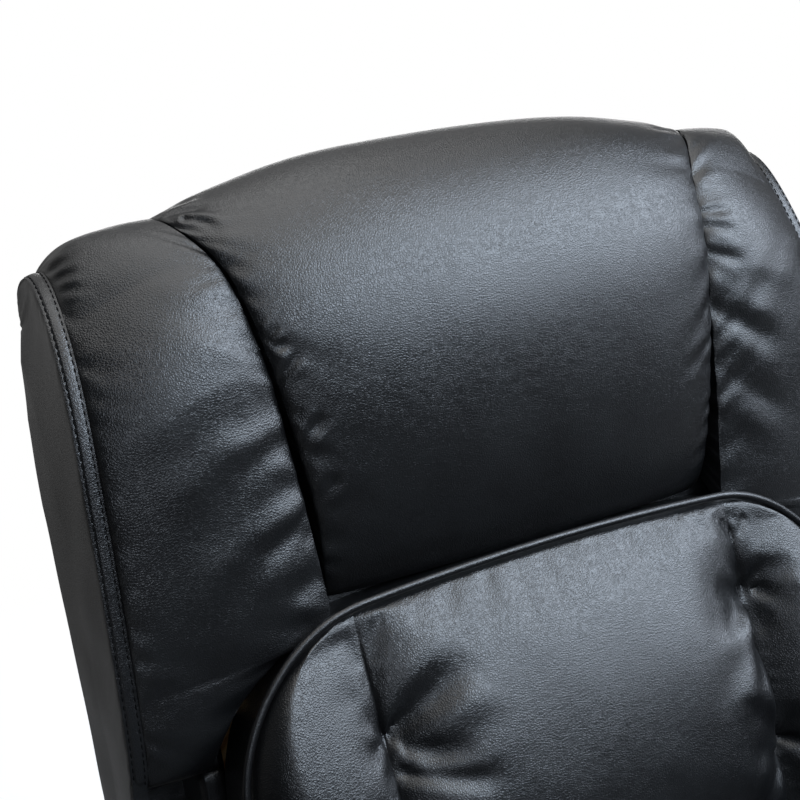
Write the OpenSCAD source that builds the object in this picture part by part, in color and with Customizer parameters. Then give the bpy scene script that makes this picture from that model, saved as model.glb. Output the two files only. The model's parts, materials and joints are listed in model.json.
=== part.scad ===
// Swivel recliner with a matching ottoman. The front is -Y and +Z is up.
// The origin is on the floor, at the centre of the floor area that chair and ottoman cover together.

/* [Back] */
// Gap between the lower back and each arm
back_arm_gap = 6; // [5:0.5:10]
// How far each wing stands out over the side of the lower back
wing_out = 48; // [30:1:60]
// Rise of the back's shoulders over the height of the arm pads, along the back
shoulder_rise = 15; // [14:1:60]
// Lean of the back from upright, when it is up
back_lean = 14; // [10:1:18]
// Travel of the back from upright to fully reclined
recline_travel = 31; // [20:1:34]
// Length of the wings, from the top seam down to the shoulders
wing_len = 396; // [376:2:410]
// Half width of the headrest roll at the top
roll_top_half = 197; // [180:1:215]
// Half width of the headrest roll at its lower end
roll_low_half = 169; // [150:1:180]
// Depth of the headrest roll at its fullest, from the back plane
roll_depth = 160; // [145:1:175]
// Distance from the top seam down to the crease under the headrest
crease_drop = 306; // [296:1:316]

/* [Back cushion] */
// Distance from the top seam down to the piped top corners of the cushion
cushion_drop = 322; // [316:1:340]
// Rise of the piped top edge in the middle
cushion_crown = 16; // [0:1:18]
// Radius of the piped top corners
cushion_corner = 104; // [60:1:130]
// Depth of the piping, from the back plane
piping_depth = 142; // [130:1:150]
// How far the cushion swells in front of its piping
cushion_swell = 30; // [15:1:40]
// Distance from the middle to each sewn seam of the cushions
seam_half = 158; // [120:1:180]
// Depth of the tufts
tuft_depth = 26; // [10:1:26]
// Thickness of the piping
piping_d = 8; // [5:0.5:10]

/* [Seat] */
// Height of the seat frame's top above the floor
frame_top = 290; // [275:1:310]
// Height of the rails of the seat frame
rail_h = 104; // [90:1:110]
// Thickness of the rails
rail_t = 24; // [18:1:28]
// Distance between the faces that the arms are bolted to
seat_w = 540; // [536:1:580]
// Front of the seat frame, from the swivel axis
seat_front = 290; // [260:1:310]
// Rear of the seat frame, from the swivel axis
seat_rear = 185; // [175:1:188]
// Height of the seat cushion above its frame, at its piping
seat_boxing = 104; // [85:1:120]
// Swell of the seat cushion above its piping
seat_swell = 52; // [30:1:60]
// Overhang of the seat cushion in front of the frame
seat_overhang = 46; // [38:1:60]

/* [Arms] */
// Thickness of the arms, without the overhang of their pads
arm_w = 100; // [85:1:115]
// Height of the arm pads above the floor
arm_top = 600; // [570:1:604]
// Length of the arms behind the swivel axis
arm_rear = 285; // [270:1:288]
// Length of the arms in front of the swivel axis
arm_front = 306; // [285:1:325]
// How far the arm pads overhang the outer sides
arm_overhang = 20; // [16:1:26]
// Thickness of the arm pads
arm_pad_h = 58; // [45:1:70]

/* [Base] */
// Outer diameter of the floor ring
ring_d = 580; // [520:2:620]
// Width of the ring's section
ring_w = 54; // [44:1:60]
// Height of the ring's section
ring_h = 42; // [34:1:48]
// Height of the rubber glides
glide_h = 8; // [6:0.5:10]
// Thickness of the bent legs
leg_t = 22; // [16:1:26]
// Width of the bent legs
leg_w = 64; // [48:1:68]
// Height of the hub disc's underside
hub_z = 150; // [140:1:155]
// Thickness of the hub disc
hub_t = 20; // [16:1:20]
// Diameter of the hub disc
hub_d = 270; // [250:2:300]

/* [Swivel and recline] */
// Height of the recline pivot
pivot_z = 335; // [325:1:345]
// Distance from the swivel axis back to the recline pivot
pivot_y = 215; // [212:1:222]
// Diameter of the pivot bolts
pivot_d = 16; // [12:1:18]
// Distance from the pivot to the clamp shaft
clamp_r = 70; // [64:1:74]
// Diameter of the clamp shaft
clamp_d = 10; // [8:1:12]
// Diameter of the clamp knob
knob_d = 60; // [48:1:70]
// Thickness of the hinge plates and brackets
plate_t = 4; // [3:0.5:5]

/* [Ottoman] */
// Width of the ottoman
ottoman_w = 520; // [480:2:560]
// Depth of the ottoman
ottoman_d = 440; // [400:2:480]
// Height of the ottoman's frame top
ottoman_frame_top = 236; // [220:1:250]
// Height of the ottoman cushion above its frame, at its piping
ottoman_boxing = 134; // [110:1:150]
// Swell of the ottoman cushion above its piping
ottoman_swell = 50; // [30:1:60]
// Outer diameter of the ottoman's floor ring
ottoman_ring_d = 410; // [380:2:430]
// Free floor between chair and ottoman
ottoman_gap = 160; // [140:5:240]

/* [Hidden] */
$fn = 48;

// Overrun of the cuts, and clearances
cut = 1;
soft_gap = 0.3;
run_gap = 0.05;
bolt_gap = 0.25;
plate_gap = 1;
way_gap = 2;
bolt_short = 1;

// Turn counts of the round forms
leg_count = 4;
leg_steps = 6;
ball_count = 18;
glide_count = 6;
tube_sides = 6;

// Heights and shapes of the base, from the floor up
ring_top = glide_h + ring_h;
hub_top = hub_z + hub_t;
ring_round_share = 0.42;
glide_share = 0.5;
leg_bend = 45;
leg_foot_shares = [0.2, 0.85];
leg_top_in = 52;
leg_bend_r = 70;

// Swivel: two square steel plates with a ball race between them
swivel_t = 3;
swivel_low_w = 170;
swivel_up_w = 200;
swivel_low_edge = 14;
swivel_up_edge = 12;
swivel_low_bolt = swivel_low_w / 2 - swivel_low_edge;
swivel_up_bolt = swivel_up_w / 2 - swivel_up_edge;
race_r = 70;
race_w = 16;
race_h = 4;
race_gap = 1;
ball_d = 8;
ball_z = hub_top + swivel_t + race_h + race_gap;
swivel_up_z = ball_z + race_gap + race_h;
swivel_pin_d = 18;
pin_head_d = 28;
pin_head_h = 3;
pin_way_d = 42;

// Bolts
bolt_d = 6;
bolt_way_d = bolt_d + 2 * bolt_gap;
bolt_head_d = 13;
bolt_head_h = 4;
small_head_d = 10.4;
small_head_h = 3.2;
leg_bolt_shares = [0.35, 0.8];
arm_bolt_shares = [0.78, 0.35];
arm_bolt_rise_share = 0.55;
hinge_bolt_shares = [0.22, 0.78];
hinge_bolt_rise_share = 0.3;
bracket_bolt_shares = [0.085, 0.667];
bracket_top_share = 0.752;

// Seat frame
frame_bottom = frame_top - rail_h;
rail_half = seat_w / 2;
rail_in = rail_half - rail_t;
cross_t = 22;
cross_len = 240;
cross_z = swivel_up_z + swivel_t;

// Seat springs and their clips
spring_count = 4;
spring_d = 4;
spring_loops = 6;
spring_loop_w = 34;
spring_drop = 12;
spring_arch = 7;
spring_steps = 4;
spring_spread_share = 0.72;
back_spring_shares = [0.25, 0.75];
back_spring_w_share = 0.22;
clip_w = 18;
clip_l = 10;
clip_h = 12;

// Hinge line
hinge_in = rail_in - plate_t;
bracket_in = hinge_in - plate_gap - plate_t;
pivot_boss = 26;
clamp_boss = 15;
clamp_angle = 15;
plate_foot_shares = [0.1, 0.6, 0.55];
plate_rear_angles = [-35, -20];
plate_front_angles = [150, 165];

// Back, in its own frame: the pivot is the origin and depths are measured from the rear plane
rear_y = 70;
shell_t = 25;
shell_drop = 75;
post_w = 32;
post_d = 45;
post_front = 95;
post_low = 95;
post_in = bracket_in - post_w;
panel_t = 12;
shoulder_lap = 4;
shoulder_drop = wing_len + shoulder_lap;
shoulder_h = (arm_top - pivot_z) / cos(back_lean) + shoulder_rise;
back_h = shoulder_h + shoulder_drop;
side_margin = 2;
lower_half = rail_half - back_arm_gap;
cushion_half = lower_half - side_margin;
back_w = 2 * (lower_half + wing_out);
back_rail_h = 40;
cushion_low = 90;
cushion_core = post_front + soft_gap;
side_low = 90;
side_top_drop = 108;
shell_top_drop = 84;
shell_corner = 14;

// Edge curves of the back's padding: depth and drop at the crease, the front, the top and the rear
roll_edge_proud = 21;
roll_mid_drop = 150;
roll_top_d = 72;
roll_top_drop = 6;
roll_crease_depth = 118;
wing_out_front = 130;
wing_low_depth = 96;
wing_mid_drop = 190;
wing_top_drop = 62;
wing_top_d = 60;
wing_swell = 14;
wing_gap = 14;
seam_gap = 1.2;
padding_in_top = 48;
shell_lap = 30;
pad_lip = 1;
wing_seam_back = 3;

// Arms
arm_in = rail_half;
arm_side_out = arm_in + arm_w;
arm_out = arm_side_out + arm_overhang;
arm_board_t = 12;
arm_pad_z = arm_top - arm_pad_h;
arm_lift = 4;
arm_low = frame_bottom + arm_lift;
arm_corner = 34;
arm_board_rear_share = 0.4;
arm_pad_lap = 14;
arm_pad_rows = 20;
arm_pad_cols = 14;
arm_pad_round_shares = [0.9, 0.6];
arm_pad_end_share = 0.35;
arm_pad_side_share = 0.3;
arm_pad_foot_share = 0.86;
arm_pad_square = 0.7;

// Ottoman
ottoman_hub_z = 130;
ottoman_hub_d = 190;
ottoman_ring_w = 48;
ottoman_leg_w = 52;
ottoman_leg_bend_r = 46;
ottoman_leg_top_in = 40;
ottoman_bolt_share = 0.5;
ottoman_tuft_shares = [-0.36, 0.36];
ottoman_seam_share = 0.9;
ottoman_apron_corner_share = 0.6;
ottoman_frame_z = ottoman_hub_z + hub_t;
ottoman_inset = 30;

// Places of the chair and the ottoman along the floor, so that the origin is in the middle
rear_round = norm([roll_top_d * cos(back_lean), (shell_top_drop - roll_top_drop) * sin(back_lean)])
    - roll_top_d * cos(back_lean);
chair_rear = pivot_y + (back_h - shell_top_drop) * sin(back_lean) + rear_y * cos(back_lean) + rear_round;
chair_front = seat_front + seat_overhang;
set_len = chair_rear + chair_front + ottoman_gap + ottoman_d;
chair_y = set_len / 2 - chair_rear;
ottoman_y = ottoman_d / 2 - set_len / 2;

hide = [0.07, 0.07, 0.075];
seam_black = [0.03, 0.03, 0.03];
steel = [0.55, 0.56, 0.58];
timber = [0.72, 0.56, 0.38];
cloth = [0.12, 0.12, 0.12];
gum = [0.09, 0.09, 0.09];

// Numbers and curves
function bound(v, lo, hi) = min(max(v, lo), hi);
function mix(a, b, t) = a + (b - a) * t;
function bell(d, w) = exp(-d * d / (2 * w * w));
function mean_point(ring) = [for (k = [0:2]) [for (p = ring) 1] * [for (p = ring) p[k]] / len(ring)];
function unit(v) = v / norm(v);
// Height of a pillow over its edge: a quarter circle of the given reach, then level
function pillow(edge, reach) = sqrt(1 - pow(1 - bound(edge / reach, 0, 1), 2));
// Depth of a row of sewn tufts and of the seam that joins them
function sewn(x, y, seam_x, tufts, seam_share, tuft_w) =
    max(seam_share * bell(abs(x) - seam_x, tuft_w / 2),
        max([for (t = tufts) bell(norm([abs(x) - seam_x, y - t]), tuft_w)]));

// A closed solid through rings of equally many points
module loft(rings) {
    n = len(rings);
    m = len(rings[0]);
    points = concat([for (r = rings) each r], [mean_point(rings[0]), mean_point(rings[n - 1])]);
    walls = [for (i = [0:n - 2], j = [0:m - 1]) each [
        [i * m + j, (i + 1) * m + (j + 1) % m, i * m + (j + 1) % m],
        [i * m + j, (i + 1) * m + j, (i + 1) * m + (j + 1) % m]]];
    ends = [for (j = [0:m - 1]) each [
        [n * m, j, (j + 1) % m],
        [n * m + 1, (n - 1) * m + (j + 1) % m, (n - 1) * m + j]]];
    polyhedron(points = points, faces = concat(walls, ends));
}

// A round tube along a path of points; ref is never along the path
module tube(path, d, ref) {
    n = len(path);
    loft([for (i = [0:n - 1])
        let (along = unit(path[min(i + 1, n - 1)] - path[max(i - 1, 0)]))
        let (side = unit(cross(along, ref)))
        let (up = cross(side, along))
        [for (k = [0:tube_sides - 1])
            path[i] + d / 2 * (cos(360 * k / tube_sides) * side - sin(360 * k / tube_sides) * up)]]);
}

// A flat rounded rectangle
module round_rect(w, h, r) {
    square([w - 2 * r, h], center = true);
    square([w, h - 2 * r], center = true);
    for (x = [-1, 1], y = [-1, 1])
        translate([x * (w / 2 - r), y * (h / 2 - r)])
            circle(r = r);
}

// A plain rod along +X from the given place
module rod_x(d, len, at) {
    translate(at)
        rotate([0, 90, 0])
            cylinder(d = d, h = len);
}

// A hexagon or round head and a shank that points up, head face at the origin
module bolt_up(d, len, head_d, head_h) {
    translate([0, 0, -head_h])
        cylinder(d = head_d, h = head_h);
    cylinder(d = d, h = len);
}

module on_chair() {
    translate([0, chair_y, 0])
        children();
}

module on_back() {
    on_chair()
        translate([0, pivot_y, pivot_z])
            rotate([-back_lean, 0, 0])
                children();
}

module on_ottoman() {
    translate([0, ottoman_y, 0])
        children();
}

// Floor ring, glides and bent legs, shared by the chair and the ottoman
module floor_ring(d, w) {
    rotate_extrude($fn = 96)
        translate([d / 2 - w / 2, glide_h + ring_h / 2])
            round_rect(w, ring_h, min(w, ring_h) * ring_round_share);
}

module glides(d, w) {
    for (i = [0:glide_count - 1])
        rotate([0, 0, 360 / glide_count * (i + 0.5)])
            translate([d / 2 - w / 2, 0, 0])
                cylinder(d = w * glide_share, h = glide_h);
}

function leg_line(foot_out, foot_in, z0, z1, bend_r, top_in) =
    let (rise = z1 - z0)
    let (run = (rise - 2 * bend_r * (1 - cos(leg_bend))) / sin(leg_bend))
    let (steps = [0:leg_bend / leg_steps:leg_bend])
    let (low = [for (a = steps) [foot_in - bend_r * sin(a), z0 + bend_r * (1 - cos(a))]])
    let (turn_x = foot_in - 2 * bend_r * sin(leg_bend) - run * cos(leg_bend))
    let (high = [for (a = steps)
        [turn_x + bend_r * sin(leg_bend - a), z1 - bend_r * (1 - cos(leg_bend - a))]])
    concat([[foot_out, z0]], low, high, [[top_in, z1]]);

function side_line(line, off) = [for (i = [0:len(line) - 1])
    let (along = unit(line[min(i + 1, len(line) - 1)] - line[max(i - 1, 0)]))
    line[i] + off * [-along[1], along[0]]];

module bent_leg(line, w, t) {
    rotate([90, 0, 0])
        linear_extrude(w, center = true)
            polygon(concat(side_line(line, t / 2), reverse_list(side_line(line, -t / 2))));
}

function reverse_list(v) = [for (i = [len(v) - 1:-1:0]) v[i]];

leg_foot_out = ring_d / 2 - ring_w * leg_foot_shares[0];
leg_foot_in = ring_d / 2 - ring_w * leg_foot_shares[1];
leg_path = leg_line(leg_foot_out, leg_foot_in, ring_top + leg_t / 2, hub_z - leg_t / 2,
    leg_bend_r, leg_top_in);
leg_top_out = leg_path[len(leg_path) - 2][0];
leg_bolts_r = [for (s = leg_bolt_shares) mix(leg_top_in, leg_top_out, s)];

module leg_bolt_holes(radii, z, d) {
    for (r = radii)
        translate([r, 0, z])
            cylinder(d = d, h = leg_t + hub_t + 2 * cut);
}

// One of the chair's bent legs, drilled for its bolts
module chair_leg(i) {
    color(hide)
        on_chair()
            rotate([0, 0, 90 * i])
                difference() {
                    bent_leg(leg_path, leg_w, leg_t);
                    leg_bolt_holes(leg_bolts_r, hub_z - leg_t - cut, bolt_way_d);
                }
}

module base_ring() {
    color(hide)
        on_chair()
            floor_ring(ring_d, ring_w);
}

module base_glides() {
    color(gum)
        on_chair()
            glides(ring_d, ring_w);
}

module base_leg_1() {
    chair_leg(0);
}

module base_leg_2() {
    chair_leg(1);
}

module base_leg_3() {
    chair_leg(2);
}

module base_leg_4() {
    chair_leg(3);
}

module hub_disc(d, z, radii) {
    difference() {
        translate([0, 0, z])
            cylinder(d = d, h = hub_t, $fn = 96);
        for (i = [0:leg_count - 1])
            rotate([0, 0, 90 * i])
                leg_bolt_holes(radii, z - cut, bolt_way_d);
    }
}

module base_hub() {
    color(timber)
        on_chair()
            difference() {
                hub_disc(hub_d, hub_z, leg_bolts_r);
                for (x = [-1, 1], y = [-1, 1])
                    translate([x * swivel_low_bolt, y * swivel_low_bolt, hub_z - cut])
                        cylinder(d = bolt_way_d, h = hub_t + 2 * cut);
                translate([0, 0, hub_z - cut])
                    cylinder(d = swivel_pin_d + 2 * run_gap, h = hub_t + 2 * cut);
            }
}

module leg_bolts() {
    color(steel)
        on_chair()
            for (i = [0:leg_count - 1], r = leg_bolts_r)
                rotate([0, 0, 90 * i])
                    translate([r, 0, hub_z - leg_t])
                        bolt_up(bolt_d, leg_t + hub_t - bolt_short, bolt_head_d, bolt_head_h);
}

// The ring-shaped track that the balls run in, groove upwards at z = race_h
module race() {
    rotate_extrude($fn = 96)
        difference() {
            translate([race_r - race_w / 2, 0])
                square([race_w, race_h]);
            translate([race_r, race_h + race_gap])
                circle(d = ball_d + 2 * run_gap);
        }
}

module swivel_base_plate() {
    color(steel)
        on_chair() {
            difference() {
                translate([-swivel_low_w / 2, -swivel_low_w / 2, hub_top])
                    cube([swivel_low_w, swivel_low_w, swivel_t]);
                for (x = [-1, 1], y = [-1, 1])
                    translate([x * swivel_low_bolt, y * swivel_low_bolt, hub_top - cut])
                        cylinder(d = bolt_way_d, h = swivel_t + 2 * cut);
                translate([0, 0, hub_top - cut])
                    cylinder(d = swivel_pin_d + 2 * run_gap, h = swivel_t + 2 * cut);
            }
            translate([0, 0, hub_top + swivel_t])
                race();
            for (x = [-1, 1], y = [-1, 1])
                translate([x * swivel_low_bolt, y * swivel_low_bolt, hub_top + swivel_t])
                    mirror([0, 0, 1])
                        bolt_up(bolt_d, hub_t, small_head_d, small_head_h);
        }
}

module swivel_balls() {
    color(steel)
        on_chair()
            for (i = [0:ball_count - 1])
                rotate([0, 0, 360 / ball_count * i])
                    translate([race_r, 0, ball_z])
                        sphere(d = ball_d);
}

module swivel_pin() {
    color(steel)
        on_chair() {
            translate([0, 0, hub_z])
                cylinder(d = swivel_pin_d, h = swivel_up_z + swivel_t + soft_gap - hub_z);
            translate([0, 0, swivel_up_z + swivel_t + soft_gap])
                cylinder(d = pin_head_d, h = pin_head_h);
            translate([0, 0, hub_z - pin_head_h])
                cylinder(d = pin_head_d, h = pin_head_h);
        }
}

module swivel_top_plate() {
    color(steel)
        on_chair() {
            difference() {
                translate([-swivel_up_w / 2, -swivel_up_w / 2, swivel_up_z])
                    cube([swivel_up_w, swivel_up_w, swivel_t]);
                for (x = [-1, 1], y = [-1, 1])
                    translate([x * swivel_up_bolt, y * swivel_up_bolt, swivel_up_z - cut])
                        cylinder(d = bolt_way_d, h = swivel_t + 2 * cut);
                translate([0, 0, swivel_up_z - cut])
                    cylinder(d = swivel_pin_d + 2 * run_gap, h = swivel_t + 2 * cut);
            }
            translate([0, 0, swivel_up_z])
                mirror([0, 0, 1])
                    race();
        }
}

module cross_board() {
    color(timber)
        on_chair()
            difference() {
                translate([-rail_in, -cross_len / 2, cross_z])
                    cube([2 * rail_in, cross_len, cross_t]);
                translate([0, 0, cross_z - cut])
                    cylinder(d = pin_way_d, h = cross_t + 2 * cut);
                for (x = [-1, 1], y = [-1, 1])
                    translate([x * swivel_up_bolt, y * swivel_up_bolt, cross_z - cut])
                        cylinder(d = bolt_way_d, h = cross_t + 2 * cut);
            }
}

// Bolt places along the arms' inner boards, through the side rails
arm_bolt_y = [-seat_front * arm_bolt_shares[0], 0, seat_rear * arm_bolt_shares[1]];
arm_bolt_z = frame_bottom + rail_h * arm_bolt_rise_share;
hinge_plate_from = cross_len / 2 + way_gap;
hinge_bolt_y = [for (s = hinge_bolt_shares) mix(hinge_plate_from, seat_rear, s)];
hinge_bolt_z = frame_bottom + rail_h * hinge_bolt_rise_share;

module side_holes(places, z, d, from, len) {
    for (y = places)
        rod_x(d, len, [from, y, z]);
}

module side_rail(side) {
    color(timber)
        on_chair()
            scale([side, 1, 1])
                difference() {
                    translate([rail_in, -seat_front, min(frame_bottom, cross_z)])
                        cube([rail_t, seat_front + seat_rear, frame_top - min(frame_bottom, cross_z)]);
                    side_holes(arm_bolt_y, arm_bolt_z, bolt_way_d, rail_in - cut, rail_t + 2 * cut);
                    side_holes(hinge_bolt_y, hinge_bolt_z, bolt_way_d, rail_in - cut, rail_t + 2 * cut);
                }
}

module side_rail_left() {
    side_rail(-1);
}

module side_rail_right() {
    side_rail(1);
}

module end_rail(y) {
    color(timber)
        on_chair()
            translate([-rail_in, y, cross_z])
                cube([2 * rail_in, rail_t, frame_top - cross_z]);
}

module front_rail() {
    end_rail(-seat_front);
}

module rear_rail() {
    color(timber)
        on_chair()
            translate([-bracket_in + plate_t, seat_rear - rail_t, cross_z])
                cube([2 * (bracket_in - plate_t), rail_t, frame_top - cross_z]);
}

// A sinuous spring: loops side to side along +Y, arched in the middle
spring_from = -seat_front + rail_t + soft_gap;
spring_to = seat_rear - rail_t - soft_gap;
function spring_path(from, to, loops, w, arch) =
    let (n = loops * spring_steps * 2)
    [for (i = [0:n])
        let (t = i / n)
        [w / 2 * sin(360 * loops * t) * min(1, 6 * min(t, 1 - t)), mix(from, to, t), arch * sin(180 * t)]];

spring_spread = rail_in * spring_spread_share;
spring_x = [for (i = [0:spring_count - 1]) mix(-spring_spread, spring_spread, i / (spring_count - 1))];

module seat_springs() {
    color(steel)
        on_chair()
            for (x = spring_x)
                translate([x, 0, frame_top - spring_drop])
                    tube(spring_path(spring_from, spring_to, spring_loops, spring_loop_w, spring_arch),
                        spring_d, [0, 0, 1]);
}

module spring_clips() {
    color(steel)
        on_chair()
            for (x = spring_x, end = [0, 1])
                difference() {
                    translate([x - clip_w / 2, end == 0 ? -seat_front + rail_t : seat_rear - rail_t - clip_l,
                        frame_top - spring_drop - clip_h / 2])
                        cube([clip_w, clip_l, clip_h]);
                    translate([x - clip_w / 4, -seat_front, frame_top - spring_drop - spring_d])
                        cube([clip_w / 2, seat_front + seat_rear, 2 * spring_d]);
                }
}

// Cushions that lie flat: their corners, their crown and their tufts
flat_rows = 24;
flat_cols = 30;
pillow_reach = 70;
tuft_w = 34;
seam_share = 0.45;
draw_in = 6;
pipe_joint = 1;

// Half width of a rounded plan at the place y between its two ends
function plan_half(half, y, y0, y1, r0, r1) =
    y < y0 + r0 ? half - r0 + sqrt(max(0, r0 * r0 - pow(y0 + r0 - y, 2)))
    : y > y1 - r1 ? half - r1 + sqrt(max(0, r1 * r1 - pow(y - y1 + r1, 2)))
    : half;

// Places of the rows, closer together in the rounded ends
function rows_of(y0, y1, r0, r1, n) =
    let (k = floor(n / 4))
    concat(
        [for (i = [0:k]) y0 + r0 * (1 - cos(90 * i / k))],
        [for (i = [1:n - 2 * k - 1]) mix(y0 + r0, y1 - r1, i / (n - 2 * k))],
        [for (i = [0:k]) y1 - r1 + r1 * sin(90 * i / k)]);

// A crowned box cushion: rings across X, one for each row along Y
function flat_cushion_ring(y, half, y0, y1, z0, z1, swell, tufts, seam_x) =
    let (mid_z = (z0 + z1) / 2)
    concat(
        [for (i = [0:flat_cols])
            let (s = -1 + 2 * i / flat_cols)
            let (x = half * s)
            let (edge = min(half - abs(x), min(y - y0, y1 - y)))
            let (rise = pillow(edge, pillow_reach))
            [x, y, z1 + swell * rise - tuft_depth * rise * sewn(x, y, seam_x, tufts, seam_share, tuft_w)]],
        [[half - draw_in, y, mid_z], [half, y, z0], [-half, y, z0], [-half + draw_in, y, mid_z]]);

module flat_cushion(half, y0, y1, r0, r1, z0, z1, swell, tufts, seam_x) {
    loft([for (y = rows_of(y0, y1, r0, r1, flat_rows))
        flat_cushion_ring(y, plan_half(half, y, y0, y1, r0, r1), y0, y1, z0, z1, swell, tufts, seam_x)]);
}

// The piping round a flat cushion's plan, from the middle of the rear edge all the way round
turn_steps = 6;
function corner_turn(x, y, r, from) =
    [for (i = [0:turn_steps]) let (a = from + 90 * i / turn_steps) [x + r * cos(a), y + r * sin(a)]];
function flat_outline(half, y0, y1, r0, r1, out, joint) = concat(
    [[-joint, y1 + out]],
    corner_turn(-half + r1, y1 - r1, r1 + out, 90),
    corner_turn(-half + r0, y0 + r0, r0 + out, 180),
    corner_turn(half - r0, y0 + r0, r0 + out, 270),
    corner_turn(half - r1, y1 - r1, r1 + out, 0),
    [[joint, y1 + out]]);

seat_side_gap = 4;
seat_pivot_gap = 59;
seat_half = seat_w / 2 - seat_side_gap;
seat_cushion_rear = pivot_y - seat_pivot_gap;
seat_cushion_front = -seat_front - seat_overhang;
seat_corner = 70;
seat_rear_corner = 24;
seat_pipe_z = frame_top + seat_boxing;
seat_tuft_shares = [0.36, 0.7];
seat_tufts = [for (s = seat_tuft_shares) mix(seat_cushion_front, seat_cushion_rear, s)];

module seat_cushion() {
    color(hide)
        on_chair()
            flat_cushion(seat_half - piping_d, seat_cushion_front + piping_d, seat_cushion_rear,
                seat_corner, seat_rear_corner, frame_top + soft_gap, seat_pipe_z,
                seat_swell, seat_tufts, seam_half);
}

module seat_piping() {
    out = piping_d / 2 + soft_gap;
    color(seam_black)
        on_chair()
            tube([for (p = flat_outline(seat_half - piping_d, seat_cushion_front + piping_d,
                seat_cushion_rear, seat_corner, seat_rear_corner, out, pipe_joint))
                [p[0], p[1], seat_pipe_z]], piping_d, [0, 0, 1]);
}

apron_half = seat_half - pad_lip;
apron_lip = 9.6;
apron_swell = 24;
apron_reach = 48;
apron_steps = 8;

module front_apron() {
    face_y = -seat_front - soft_gap;
    top_z = frame_top - soft_gap;
    color(hide)
        on_chair()
            loft([for (i = [0:apron_steps])
                let (x = mix(-apron_half, apron_half, i / apron_steps))
                let (full = apron_swell * pillow(seat_half - abs(x), apron_reach))
                concat(
                    [for (k = [apron_steps:-1:0])
                        [x, face_y - apron_lip - full * sin(180 * k / apron_steps),
                            mix(cross_z, top_z, k / apron_steps)]],
                    [[x, face_y, cross_z], [x, face_y, top_z]])]);
}

dust_t = 1.5;

module dust_cover() {
    color(cloth)
        on_chair()
            difference() {
                translate([-rail_half + rail_t / 2, -seat_front + rail_t / 2, cross_z - soft_gap - dust_t])
                    cube([2 * rail_half - rail_t, seat_front + seat_rear - rail_t, dust_t]);
                translate([-swivel_up_w / 2 - way_gap, -swivel_up_w / 2 - way_gap, cross_z - 2 * dust_t])
                    cube([swivel_up_w + 2 * way_gap, swivel_up_w + 2 * way_gap, 3 * dust_t]);
            }
}

module seat_bolts() {
    color(steel)
        on_chair() {
            for (side = [-1, 1])
                scale([side, 1, 1]) {
                    for (y = arm_bolt_y) {
                        rod_x(bolt_d, rail_t + arm_skin + arm_board_t - bolt_short, [rail_in, y, arm_bolt_z]);
                        rod_x(bolt_head_d, bolt_head_h, [rail_in - bolt_head_h, y, arm_bolt_z]);
                    }
                    for (y = hinge_bolt_y) {
                        rod_x(bolt_d, plate_t + rail_t - bolt_short, [hinge_in, y, hinge_bolt_z]);
                        rod_x(bolt_head_d, bolt_head_h, [hinge_in - bolt_head_h, y, hinge_bolt_z]);
                    }
                }
            for (x = [-1, 1], y = [-1, 1])
                translate([x * swivel_up_bolt, y * swivel_up_bolt, swivel_up_z])
                    bolt_up(bolt_d, swivel_t + cross_t - bolt_short, small_head_d, bolt_head_h);
        }
}

// Arms: an inner board, a padded side and a pillow on top
clamp_y = pivot_y + clamp_r * sin(back_lean + clamp_angle);
clamp_z = pivot_z + clamp_r * cos(back_lean + clamp_angle);
shaft_way = 9;
arm_skin = 8;
arm_board_from = -arm_front + arm_corner;
arm_board_to = arm_rear - arm_corner * arm_board_rear_share;

module arm_board(side) {
    color(timber)
        on_chair()
            scale([side, 1, 1])
                difference() {
                    translate([arm_in + arm_skin, arm_board_from, arm_low + arm_skin])
                        cube([arm_board_t, arm_board_to - arm_board_from,
                            arm_pad_z - arm_low - 2 * arm_skin]);
                    side_holes(arm_bolt_y, arm_bolt_z, bolt_way_d,
                        arm_in, arm_skin + arm_board_t + cut);
                    rod_x(2 * shaft_way, arm_board_t + 2 * cut, [arm_in + arm_skin - cut, clamp_y, clamp_z]);
                }
}

module arm_board_left() {
    arm_board(-1);
}

module arm_board_right() {
    arm_board(1);
}

// The padded side goes all round its board, with holes for the bolts and the clamp shaft
module arm_panel(side) {
    l = arm_front + arm_rear;
    color(hide)
        on_chair()
            scale([side, 1, 1])
                difference() {
                    translate([arm_in + arm_w / 2, (arm_rear - arm_front) / 2, arm_low])
                        linear_extrude(arm_pad_z - soft_gap - arm_low)
                            round_rect(arm_w, l, arm_corner);
                    translate([arm_in + arm_skin - soft_gap, arm_board_from - soft_gap,
                        arm_low + arm_skin - soft_gap])
                        cube([arm_board_t + 2 * soft_gap, arm_board_to - arm_board_from + 2 * soft_gap,
                            arm_pad_z - arm_low - 2 * arm_skin + 2 * soft_gap]);
                    side_holes(arm_bolt_y, arm_bolt_z, bolt_way_d,
                        arm_in - cut, arm_skin + 2 * cut);
                    side_holes([clamp_y], clamp_z, 2 * shaft_way, arm_in - cut, arm_w + 2 * cut);
                }
}

module arm_panel_left() {
    arm_panel(-1);
}

module arm_panel_right() {
    arm_panel(1);
}

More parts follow.
